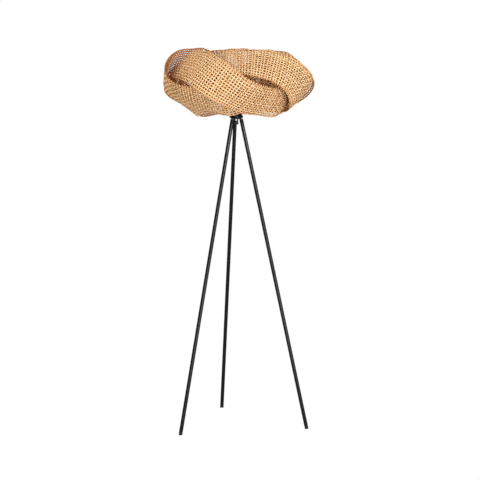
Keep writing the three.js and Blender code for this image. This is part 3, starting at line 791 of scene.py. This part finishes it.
# %% Finishes of the bought-in parts inside
INSIDE = {
    zinc: [f"leg_{part}_{side}" for part in ("joiner", "stud") for side in LEGS]
    + ["threaded_tube", "hub_nut", "lampholder_nut"],
    brass: ["screw_shell", "centre_contact", "bulb_contact"],
    porcelain: ["socket_insulator"],
    phenolic: ["bulb_insulator"],
}
for finish, nodes in INSIDE.items():
    for node in nodes:
        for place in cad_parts[node].material_slots:
            place.material = finish
print("solids that keep their own shape:", sum(len(nodes) for nodes in INSIDE.values()))

# %% [markdown]
# The shade hangs on a wire frame: a flat ring on the lampholder's flange, three arms, and a hoop that
# the bands are tied to. It is welded, so all of it is one piece. A wire is a curve with a round
# bevel, which Blender turns into a tube, and a small ball at each weld stands for the bead.

# %% Wires and weld beads
def wire_mesh(paths, radius, closed=False, sides=4):
    """Round wire along each list of points, as one mesh with closed ends"""
    curve = bpy.data.curves.new("wire", "CURVE")
    curve.dimensions = "3D"
    curve.bevel_depth = radius
    curve.bevel_resolution = sides
    curve.use_fill_caps = True
    for path in paths:
        line = curve.splines.new("POLY")
        line.points.add(len(path) - 1)
        for point, place in zip(line.points, path):
            point.co = (*place, 1)
        line.use_cyclic_u = closed
    carrier = bpy.data.objects.new("wire", curve)
    mesh = bpy.data.meshes.new_from_object(carrier)
    bpy.data.objects.remove(carrier)
    return soften(mesh)


def around(turn, radius, height=0.0):
    """A point around the lamp's axis: turn 0 is towards the photograph's side, in radians"""
    return Vector((radius * math.sin(turn), -radius * math.cos(turn), height))


def ball_mesh(centre, radius):
    """A small weld bead"""
    shape = bmesh.new()
    bmesh.ops.create_uvsphere(shape, u_segments=16, v_segments=10, radius=radius)
    bmesh.ops.translate(shape, verts=shape.verts, vec=centre)
    mesh = bpy.data.meshes.new("bead")
    shape.to_mesh(mesh)
    shape.free()
    return soften(mesh)


# %% Wire frame
WIRE = 2.5 * MM
ARM_TURNS = (16, 140, -103)
WELD, SMALL_WELD = 3.4 * MM, 2.72 * MM
RING_BORE = 20.4 * MM
RING_OVERHANG = 4 * MM
RING_THICKNESS = 2 * MM
RING_EDGE = 0.5 * MM
HOOP_RADIUS = 215.4 * MM
HOOP_STEPS = 120
SHADE_SHIFT = 1 * MM

low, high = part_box("shade_frame")
ring_bottom = low.z
hoop_height = high.z - WIRE
ring_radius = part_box("lampholder_sleeve")[1].x - AXIS.x + RING_OVERHANG
ring = turned("ring", eased([
    (RING_BORE, ring_bottom), (ring_radius, ring_bottom),
    (ring_radius, ring_bottom + RING_THICKNESS), (RING_BORE, ring_bottom + RING_THICKNESS),
], RING_EDGE), ROUND_LARGE)
aside = Vector((SHADE_SHIFT, 0, 0))
turns = [2 * math.pi * step / HOOP_STEPS for step in range(HOOP_STEPS)]
hoop = [around(turn, HOOP_RADIUS, hoop_height) + aside for turn in turns]
arms, beads = [], []
for turn in map(math.radians, ARM_TURNS):
    root = around(turn, ring_radius - WIRE / 2, ring_bottom + RING_THICKNESS / 2)
    end = around(turn, HOOP_RADIUS, hoop_height) + aside
    arms.append([root, end])
    beads += [ball_mesh(root, SMALL_WELD), ball_mesh(end, WELD)]
parts = [ring, wire_mesh([hoop], WIRE, closed=True), wire_mesh(arms, WIRE), *beads]
add_piece("wire_frame", on_axis(joined_mesh("wire_frame", parts)), powder_coat, "shade", "shade_frame")
print("hoop at mm:", round(hoop_height / MM, 1))

# %% [markdown]
# A band is one endless mat of bamboo that climbs and falls twice on its way around. Its middle line
# follows a rule: the radius, the height and the lean of the mat are each a short sum of waves of the
# turn. The names and sizes are those of the part's source, so the weave lies where the solid does.
# The guide is a plain loop of points that carries two directions at each point: across the mat,
# and out of it.

# %% The sizes of the bands
BANDS = {
    "a": {"turn": -116, "lift": 1.2, "shift": -2.3, "tip": 1.1, "rock": -8.5, "sway": -3.2},
    "b": {"turn": -56.1, "lift": -6.4, "shift": 0, "tip": 1.1, "rock": -2.7, "sway": 0.7},
    "c": {"turn": 6.7, "lift": 1, "shift": 6.2, "tip": 0.9, "rock": 2.9, "sway": 0.5},
}
SHADE_TIP = math.radians(-2.6)
BAND_WIDTH = 148 * MM
BAND_CROWN = 8.4 * MM
CROWN_MIDDLE_SHARE = 1 / 3
# The middle line in millimetres, and the lean in degrees
BAND_RADIUS, BAND_SQUARENESS, BAND_STEP = 241.9, 15.4, 26.2
BAND_STEP_RIPPLE, BAND_RADIUS_SKEW = -5.7, -0.5
BAND_CLIMB, BAND_CLIMB_RIPPLE, BAND_CLIMB_SKEW = 87.7, -9.1, -5.5
BAND_LEAN, BAND_LEAN_RIPPLE, BAND_LEAN_FINE, BAND_LEAN_STEP = 51.4, -6.4, 1.3, -4.6
GUIDE_STEPS = 720
NUDGE = math.pi / 90
print("bands:", list(BANDS), "width in mm:", round(BAND_WIDTH / MM))


# %% The bands' rule
def band_middle(turn, phase):
    """A point of a band's middle line at a turn around the shade"""
    u = 2 * (turn - phase)
    radius = (BAND_RADIUS - BAND_SQUARENESS * math.cos(2 * u) + BAND_STEP * math.sin(u)
              + BAND_STEP_RIPPLE * math.sin(3 * u) + BAND_RADIUS_SKEW * math.sin(2 * u))
    height = (BAND_CLIMB * math.cos(u) + BAND_CLIMB_RIPPLE * math.cos(3 * u)
              + BAND_CLIMB_SKEW * math.sin(2 * u))
    return around(turn, radius, height) * MM


def band_frame(turn, setting):
    """Middle, across and outward directions of a band at a turn around the shade"""
    phase = math.radians(setting["turn"])
    u = 2 * (turn - phase)
    along = (band_middle(turn + NUDGE, phase) - band_middle(turn - NUDGE, phase)).normalized()
    lean = (BAND_LEAN * math.cos(u) + BAND_LEAN_RIPPLE * math.cos(3 * u)
            + BAND_LEAN_FINE * math.cos(5 * u) + BAND_LEAN_STEP * math.sin(u)
            + setting["rock"] * math.cos(turn - phase) + setting["sway"] * math.sin(turn - phase))
    lean = math.radians(lean)
    across = UP * math.cos(lean) - around(turn, 1) * math.sin(lean)
    across = (across - along * across.dot(along)).normalized()
    return band_middle(turn, phase), across, along.cross(across)


# %% Where a band lies, and its guide
def band_place(letter):
    """Where a band's own space lies in the lamp"""
    setting = BANDS[letter]
    tip = Matrix.Rotation(math.radians(-setting["tip"]), 4, "Y")
    own = Matrix.Translation(Vector((setting["shift"], 0, setting["lift"])) * MM) @ tip
    shade = Matrix.Translation(AXIS + Vector((SHADE_SHIFT, 0, hoop_height)))
    return shade @ Matrix.Rotation(SHADE_TIP, 4, "X") @ own


def band_guide(letter):
    """A closed line along the band, with two directions stored on its points, and its length"""
    place = band_place(letter)
    turns = [2 * math.pi * step / GUIDE_STEPS for step in range(GUIDE_STEPS)]
    rows = [band_frame(turn, BANDS[letter]) for turn in turns]
    mesh = bpy.data.meshes.new("guide")
    edges = [(step, (step + 1) % GUIDE_STEPS) for step in range(GUIDE_STEPS)]
    mesh.from_pydata([place @ middle for middle, across, outward in rows], edges, [])
    for word, column in (("across", 1), ("outward", 2)):
        store = mesh.attributes.new(word, "FLOAT_VECTOR", "POINT")
        for point, row in zip(store.data, rows):
            point.vector = place.to_3x3() @ row[column]
    length = sum((mesh.vertices[a].co - mesh.vertices[b].co).length for a, b in edges)
    print("band", letter, "is", round(length / MM), "mm long")
    return mesh, length


# %% [markdown]
# The weave is a plain one: long slats run the whole way around, cross slats run from rim to rim, and
# each goes over one and under the next. Two flat slats, one inside and one outside, bind the cut ends
# along each rim. Geometry Nodes suit this, because a mat is one slat repeated. The tree makes a bare
# strip as a curve, copies it, and then places every point by three numbers: how far along the band,
# how far across it, and how far out of it.

# %% One set of strips
SLATS = 11
# The spacing of the slats that show at the front of the shade
PITCH = 12 * MM
SLAT_WIDTH = 5.9 * MM
SLAT_THICKNESS = 1.5 * MM
WEAVE_DEPTH = 0.9 * MM
RIM_WIDTH = 4.2 * MM
SLAT_END = 1.2 * MM
WANDER = 0.4 * MM
WANDER_WAVES = 9.0
WANDER_SPREAD = (5.1, 3.7, 1.9)
STEPS_PER_CELL = 4
SEED = 7


def strips(tree, guide, given, profile, base, count, place, seed):
    """One set of strips: base is a bare strip, and place gives share along, offset and depth"""
    line = add_node(tree, "GeometryNodeMeshLine", {"Count": count, "Offset": (0, 0, 0)})
    index = add_node(tree, "GeometryNodeInputIndex")
    named = add_node(tree, "GeometryNodeStoreNamedAttribute", {
        "Geometry": line, "Name": "strip", "Value": index,
    }, data_type="FLOAT", domain="POINT")
    copies = add_node(tree, "GeometryNodeInstanceOnPoints", {"Points": named, "Instance": base})
    loose = add_node(tree, "GeometryNodeRealizeInstances", {"Geometry": copies})
    strip = add_node(tree, "GeometryNodeInputNamedAttribute", {"Name": "strip"}, data_type="FLOAT")
    step = add_node(tree, "GeometryNodeSplineParameter").outputs["Index"]
    share, offset, depth = place(tree, given, strip, step)
    sampled = []
    for word in ("across", "outward"):
        value = add_node(tree, "GeometryNodeInputNamedAttribute", {"Name": word}, data_type="FLOAT_VECTOR")
        sampled.append(add_node(tree, "GeometryNodeSampleCurve", {
            "Curves": guide, "Value": value, "Factor": share,
        }, mode="FACTOR", data_type="FLOAT_VECTOR"))
    across, outward = [node.outputs["Value"] for node in sampled]
    middle = sampled[0].outputs["Position"]
    # Hand-laid slats wander a little sideways, each in its own way
    own = add_node(tree, "ShaderNodeCombineXYZ", {"X": strip, "Y": strip, "Z": float(seed)})
    own = add_node(tree, "ShaderNodeVectorMath", {0: own, 1: WANDER_SPREAD}, operation="MULTIPLY")
    near = add_node(tree, "ShaderNodeVectorMath", {0: middle, "Scale": WANDER_WAVES}, operation="SCALE")
    near = add_node(tree, "ShaderNodeVectorMath", {0: near, 1: own}, operation="ADD")
    drift = add_node(tree, "ShaderNodeTexNoise", {"Vector": near, "Scale": 1.0, "Detail": 1.0})
    drift = add_node(tree, "ShaderNodeMath", {0: drift, 1: 0.5}, operation="SUBTRACT")
    drift = add_node(tree, "ShaderNodeMath", {
        0: drift, 1: given["Wander"], 2: offset,
    }, operation="MULTIPLY_ADD")
    # The mat is crowned: highest on its middle line and lower at both rims
    edge = add_node(tree, "ShaderNodeMath", {0: offset, 1: BAND_WIDTH / 2}, operation="DIVIDE")
    edge = add_node(tree, "ShaderNodeMath", {0: edge, 1: edge}, operation="MULTIPLY")
    edge = add_node(tree, "ShaderNodeMath", {0: CROWN_MIDDLE_SHARE, 1: edge}, operation="SUBTRACT")
    rise = add_node(tree, "ShaderNodeMath", {0: edge, 1: given["Crown"], 2: depth}, operation="MULTIPLY_ADD")
    sideways = add_node(tree, "ShaderNodeVectorMath", {0: across, "Scale": drift}, operation="SCALE")
    outwards = add_node(tree, "ShaderNodeVectorMath", {0: outward, "Scale": rise}, operation="SCALE")
    spot = add_node(tree, "ShaderNodeVectorMath", {0: middle, 1: sideways}, operation="ADD")
    spot = add_node(tree, "ShaderNodeVectorMath", {0: spot, 1: outwards}, operation="ADD")
    tone = add_node(tree, "FunctionNodeRandomValue", {"ID": strip, "Seed": seed}).outputs[1]
    for word, value, kind in (("facing", outward, "FLOAT_VECTOR"), ("tone", tone, "FLOAT")):
        loose = add_node(tree, "GeometryNodeStoreNamedAttribute", {
            "Geometry": loose, "Name": word, "Value": value,
        }, data_type=kind, domain="POINT")
    laid = add_node(tree, "GeometryNodeSetPosition", {"Geometry": loose, "Position": spot})
    length = add_node(tree, "GeometryNodeSplineParameter").outputs["Length"]
    measured = add_node(tree, "GeometryNodeStoreNamedAttribute", {
        "Geometry": laid, "Name": "along", "Value": length,
    }, data_type="FLOAT", domain="POINT")
    facing = add_node(tree, "GeometryNodeInputNamedAttribute", {"Name": "facing"}, data_type="FLOAT_VECTOR")
    flat = add_node(tree, "GeometryNodeSetCurveNormal", {"Curve": measured}, mode="FREE")
    tree.links.new(facing.outputs[0], flat.inputs["Normal"])
    return add_node(tree, "GeometryNodeCurveToMesh", {
        "Curve": flat, "Profile Curve": profile, "Fill Caps": True,
    })


# %% A slat's section
def slat_profile(tree, width, thickness):
    """Section of a slat: six corners, flat sides and a slightly raised middle on both faces"""
    ring = add_node(tree, "GeometryNodeCurvePrimitiveCircle", {"Resolution": 6, "Radius": 1.0})
    stretch = add_node(tree, "ShaderNodeMath", {0: width, 1: math.sqrt(3)}, operation="DIVIDE")
    squash = add_node(tree, "ShaderNodeMath", {0: thickness, 1: 2.0}, operation="DIVIDE")
    scale = add_node(tree, "ShaderNodeCombineXYZ", {"X": squash, "Y": stretch, "Z": 1.0})
    place = add_node(tree, "GeometryNodeInputPosition")
    sides = add_node(tree, "ShaderNodeSeparateXYZ", {"Vector": place})
    marked = add_node(tree, "GeometryNodeStoreNamedAttribute", {
        "Geometry": ring, "Name": "edge", "Value": sides.outputs["Y"],
    }, data_type="FLOAT", domain="POINT")
    return add_node(tree, "GeometryNodeTransform", {"Geometry": marked, "Scale": scale})


# %% [markdown]
# A slat's number and the step along it say where a point lies. A cosine of the crossing's number gives
# the over and under, with the other sign for the other set. The cross slats aren't quite even, as
# in a mat laid by hand, and their ends are left a little long.

# %% Where the slats lie
UNEVEN = 0.1
END_SHARE = 0.01


def over_and_under(tree, given, first, second, sign):
    """A height that changes sides at each whole number of the sum of two counts"""
    height = first
    for operation, value in (("ADD", second), ("MULTIPLY", math.pi), ("COSINE", 0.0),
                             ("MULTIPLY", sign), ("MULTIPLY", given["Weave Depth"])):
        height = add_node(tree, "ShaderNodeMath", {0: height, 1: value}, operation=operation)
    return height


def long_place(tree, given, strip, step):
    """A long slat. The cross slats stand in the middle of their cells, so it counts half a cell back"""
    share = add_node(tree, "ShaderNodeMath", {0: step, 1: given["Round Steps"]}, operation="DIVIDE")
    number = add_node(tree, "ShaderNodeMath", {0: strip, 1: 1.0}, operation="ADD")
    offset = add_node(tree, "ShaderNodeMath", {0: number, 1: given["Gap"]}, operation="MULTIPLY")
    offset = add_node(tree, "ShaderNodeMath", {0: offset, 1: given["Reach"]}, operation="SUBTRACT")
    cell = add_node(tree, "ShaderNodeMath", {
        0: share, 1: given["Cross Slats"], 2: -0.5,
    }, operation="MULTIPLY_ADD")
    return share, offset, over_and_under(tree, given, cell, number, 1.0)


def cross_place(tree, given, strip, step):
    """A cross slat. It flattens out between the rim slats, and its ends stand out past them like teeth"""
    nudge = add_node(tree, "FunctionNodeRandomValue", {
        2: 0.5 - UNEVEN, 3: 0.5 + UNEVEN, "ID": strip, "Seed": SEED,
    })
    share = add_node(tree, "ShaderNodeMath", {0: strip, 1: nudge.outputs[1]}, operation="ADD")
    share = add_node(tree, "ShaderNodeMath", {0: share, 1: given["Cross Slats"]}, operation="DIVIDE")
    cell = add_node(tree, "ShaderNodeMath", {0: step, 1: float(STEPS_PER_CELL)}, operation="DIVIDE")
    offset = add_node(tree, "ShaderNodeMath", {0: cell, 1: given["Gap"]}, operation="MULTIPLY")
    offset = add_node(tree, "ShaderNodeMath", {0: offset, 1: given["Reach"]}, operation="SUBTRACT")
    inset = add_node(tree, "ShaderNodeMath", {0: offset}, operation="ABSOLUTE")
    inset = add_node(tree, "ShaderNodeMath", {0: given["Reach"], 1: inset}, operation="SUBTRACT")
    inset = add_node(tree, "ShaderNodeMath", {0: inset, 1: given["Gap"]}, operation="DIVIDE")
    inset = add_node(tree, "ShaderNodeClamp", {"Value": inset})
    wave = over_and_under(tree, given, cell, strip, -1.0)
    depth = add_node(tree, "ShaderNodeMath", {0: wave, 1: inset}, operation="MULTIPLY")
    tooth = add_node(tree, "ShaderNodeMath", {0: given["Slat End"], 1: given["Rim Width"]}, operation="ADD")
    side = add_node(tree, "ShaderNodeMath", {0: offset}, operation="SIGN")
    ended = add_node(tree, "ShaderNodeMath", {0: inset, 1: END_SHARE}, operation="LESS_THAN")
    side = add_node(tree, "ShaderNodeMath", {0: side, 1: ended}, operation="MULTIPLY")
    offset = add_node(tree, "ShaderNodeMath", {0: side, 1: tooth, 2: offset}, operation="MULTIPLY_ADD")
    return share, offset, depth


def rim_place(tree, given, strip, step):
    """A rim slat. Of the four, odd ones lie on the other rim, and the last two on the other face"""
    share = add_node(tree, "ShaderNodeMath", {0: step, 1: given["Round Steps"]}, operation="DIVIDE")
    half = add_node(tree, "ShaderNodeMath", {0: strip, 1: 2.0}, operation="DIVIDE")
    face = add_node(tree, "ShaderNodeMath", {0: half}, operation="FLOOR")
    side = add_node(tree, "ShaderNodeMath", {0: half}, operation="FRACT")
    side = add_node(tree, "ShaderNodeMath", {0: side, 1: 4.0, 2: -1.0}, operation="MULTIPLY_ADD")
    face = add_node(tree, "ShaderNodeMath", {0: face, 1: 2.0, 2: -1.0}, operation="MULTIPLY_ADD")
    offset = add_node(tree, "ShaderNodeMath", {0: side, 1: given["Reach"]}, operation="MULTIPLY")
    depth = add_node(tree, "ShaderNodeMath", {0: face, 1: given["Slat Thickness"]}, operation="MULTIPLY")
    return share, offset, depth


# %% [markdown]
# The tree brings the sets together. Its sizes are named inputs, so a wider slat or a deeper weave is
# one number. It marks which faces are the skin, and it ends with real geometry and its finish,
# because an export drops copies that aren't made real.

# %% The weave's node tree
RIM_SLATS = 4


def weave_tree():
    """The node tree for a woven band, with its sizes as named inputs"""
    tree = bpy.data.node_groups.new("woven band", "GeometryNodeTree")
    sizes = {
        "Long Slats": ("NodeSocketInt", SLATS), "Cross Slats": ("NodeSocketInt", 2),
        "Slat Width": ("NodeSocketFloat", SLAT_WIDTH), "Slat Thickness": ("NodeSocketFloat", SLAT_THICKNESS),
        "Weave Depth": ("NodeSocketFloat", WEAVE_DEPTH), "Rim Width": ("NodeSocketFloat", RIM_WIDTH),
        "Crown": ("NodeSocketFloat", BAND_CROWN), "Wander": ("NodeSocketFloat", WANDER),
        "Band Width": ("NodeSocketFloat", BAND_WIDTH), "Slat End": ("NodeSocketFloat", SLAT_END),
        "Finish": ("NodeSocketMaterial", None),
    }
    tree.interface.new_socket("Guide", in_out="INPUT", socket_type="NodeSocketGeometry")
    for name, (kind, value) in sizes.items():
        socket = tree.interface.new_socket(name, in_out="INPUT", socket_type=kind)
        if value is not None:
            socket.default_value = value
    tree.interface.new_socket("Weave", in_out="OUTPUT", socket_type="NodeSocketGeometry")
    given = {size.name: size for size in add_node(tree, "NodeGroupInput").outputs}
    guide = add_node(tree, "GeometryNodeMeshToCurve", {"Mesh": given["Guide"]})

    # The outermost lines are the rims, and the long slats share the space between them
    reach = given["Band Width"]
    for operation, value in (
        ("SUBTRACT", given["Rim Width"]), ("DIVIDE", 2.0), ("SUBTRACT", given["Slat End"]),
    ):
        reach = add_node(tree, "ShaderNodeMath", {0: reach, 1: value}, operation=operation)
    lines = add_node(tree, "ShaderNodeMath", {0: given["Long Slats"], 1: 1.0}, operation="ADD")
    gap = add_node(tree, "ShaderNodeMath", {0: reach, 1: lines}, operation="DIVIDE")
    gap = add_node(tree, "ShaderNodeMath", {0: gap, 1: 2.0}, operation="MULTIPLY")
    round_steps, cross_steps = [
        add_node(tree, "ShaderNodeMath", {0: cells, 1: float(STEPS_PER_CELL)}, operation="MULTIPLY")
        for cells in (given["Cross Slats"], lines)
    ]
    given |= {"Reach": reach, "Gap": gap, "Round Steps": round_steps}

    loop = add_node(tree, "GeometryNodeCurvePrimitiveCircle", {"Resolution": round_steps, "Radius": 1.0})
    stick = add_node(tree, "GeometryNodeCurvePrimitiveLine")
    points = add_node(tree, "ShaderNodeMath", {0: cross_steps, 1: 1.0}, operation="ADD")
    stick = add_node(tree, "GeometryNodeResampleCurve", {"Curve": stick, "Count": points})
    slat = slat_profile(tree, given["Slat Width"], given["Slat Thickness"])
    rim_slat = slat_profile(tree, given["Rim Width"], given["Slat Thickness"])
    long_slats = strips(tree, guide, given, slat, loop, given["Long Slats"], long_place, SEED)
    cross_slats = strips(tree, guide, given, slat, stick, given["Cross Slats"], cross_place, SEED + 1)
    rim_slats = strips(tree, guide, given, rim_slat, loop, RIM_SLATS, rim_place, SEED + 2)
    rim_slats = add_node(tree, "GeometryNodeStoreNamedAttribute", {
        "Geometry": rim_slats, "Name": "rim", "Value": 1.0,
    }, data_type="FLOAT", domain="POINT")
    mat = add_node(tree, "GeometryNodeJoinGeometry")
    for slats in (long_slats, cross_slats, rim_slats):
        tree.links.new(slats.outputs[0], mat.inputs["Geometry"])

    # The skin side faces out: the material paints it paler
    facing = add_node(tree, "GeometryNodeInputNamedAttribute", {"Name": "facing"}, data_type="FLOAT_VECTOR")
    normal = add_node(tree, "GeometryNodeInputNormal")
    out = add_node(tree, "ShaderNodeVectorMath", {0: facing, 1: normal}, operation="DOT_PRODUCT")
    skin = add_node(tree, "ShaderNodeMath", {0: out.outputs["Value"], 1: 0.0}, operation="GREATER_THAN")
    skinned = add_node(tree, "GeometryNodeStoreNamedAttribute", {
        "Geometry": mat, "Name": "skin", "Value": skin,
    }, data_type="FLOAT", domain="FACE")
    smooth = add_node(tree, "GeometryNodeSetShadeSmooth", {"Geometry": skinned})
    solid = add_node(tree, "GeometryNodeRealizeInstances", {"Geometry": smooth})
    done = add_node(tree, "GeometryNodeSetMaterial", {"Geometry": solid, "Material": given["Finish"]})
    add_node(tree, "NodeGroupOutput", {"Weave": done})
    return tree


weave = weave_tree()
print("nodes in the weave's tree:", len(weave.nodes))

# %% [markdown]
# Each band gets its own guide and its own even number of cross slats, so that the weave closes on
# itself. The result is a plain mesh, and the modifier goes.

# %% Woven bands
def woven_band(letter):
    """Weave one band on its guide and return it as a plain mesh"""
    guide, length = band_guide(letter)
    holder = bpy.data.objects.new("guide", guide)
    bpy.context.scene.collection.objects.link(holder)
    weaving = holder.modifiers.new("weave", "NODES")
    weaving.node_group = weave
    inputs = {item.name: item.identifier for item in weave.interface.items_tree if item.in_out == "INPUT"}
    weaving[inputs["Cross Slats"]] = 2 * round(length / PITCH / 2)
    weaving[inputs["Finish"]] = bamboo
    seen = holder.evaluated_get(bpy.context.evaluated_depsgraph_get())
    mesh = bpy.data.meshes.new_from_object(seen)
    holder.modifiers.remove(weaving)
    bpy.data.objects.remove(holder)
    return mesh


for letter in BANDS:
    mat = woven_band(letter)
    add_piece(f"bamboo_band_{letter}", mat, bamboo, "shade", f"woven_band_{letter}")
    mat.calc_loop_triangles()
    print("band", letter, "triangles:", len(mat.loop_triangles))

# %% [markdown]
# The bands hold together because they are bound with cane: to the hoop, and to each other where one
# passes under the next. A binding is a flat loop wound a few times around two things, so its path
# is a stretched circle that steps sideways at each turn.

# %% One binding
CANE_RADIUS = 0.8 * MM
CANE_PITCH = 2.1 * CANE_RADIUS
BINDING_TURNS = 4
BINDING_STEPS = 20


def binding(start, end, rise, before, after, height):
    """Cane wound around what lies from before the start to after the end of a tie"""
    along = (end - start).normalized()
    rise = (rise - along * rise.dot(along)).normalized()
    step_out = along.cross(rise)
    first, last = start - along * before, end + along * after
    middle, reach = (first + last) / 2, (last - first).length / 2
    path = []
    for step in range(BINDING_TURNS * BINDING_STEPS + 1):
        angle = 2 * math.pi * step / BINDING_STEPS
        drift = (step / BINDING_STEPS - BINDING_TURNS / 2) * CANE_PITCH
        wound = along * reach * math.cos(angle) + rise * height * math.sin(angle)
        path.append(middle + wound + step_out * drift)
    return wire_mesh([path], CANE_RADIUS, sides=2)


# %% Cane bindings
CLIMB_TURN = 135
BAND_TIE_TURN = 147
HOOP_GRIP, HOOP_RISE = 2 * WIRE + CANE_RADIUS, WIRE + 2 * CANE_RADIUS
WEAVE_GRIP, WEAVE_RISE = 1.8 * MM, 2.5 * CANE_RADIUS

for letter, setting in BANDS.items():
    for half in (1, 2):
        climb = math.radians(setting["turn"] + CLIMB_TURN + 180 * half)
        start, end, radius = rod_along(f"hoop_tie_{letter}{half}", around(climb, 1))
        lashing = binding(start, end, UP, HOOP_GRIP, WEAVE_GRIP, HOOP_RISE)
        add_piece(f"hoop_binding_{letter}{half}", lashing, cane, "shade", f"hoop_tie_{letter}{half}")
        turn = math.radians(setting["turn"] + BAND_TIE_TURN + 180 * half)
        middle, across, outward = band_frame(turn, setting)
        place = band_place(letter).to_3x3()
        start, end, radius = rod_along(f"band_tie_{letter}{half}", (place @ outward).normalized())
        lashing = binding(start, end, place @ across, WEAVE_GRIP, WEAVE_GRIP, WEAVE_RISE)
        add_piece(f"band_binding_{letter}{half}", lashing, cane, "shade", f"band_tie_{letter}{half}")
print("cane bindings:", 4 * len(BANDS))
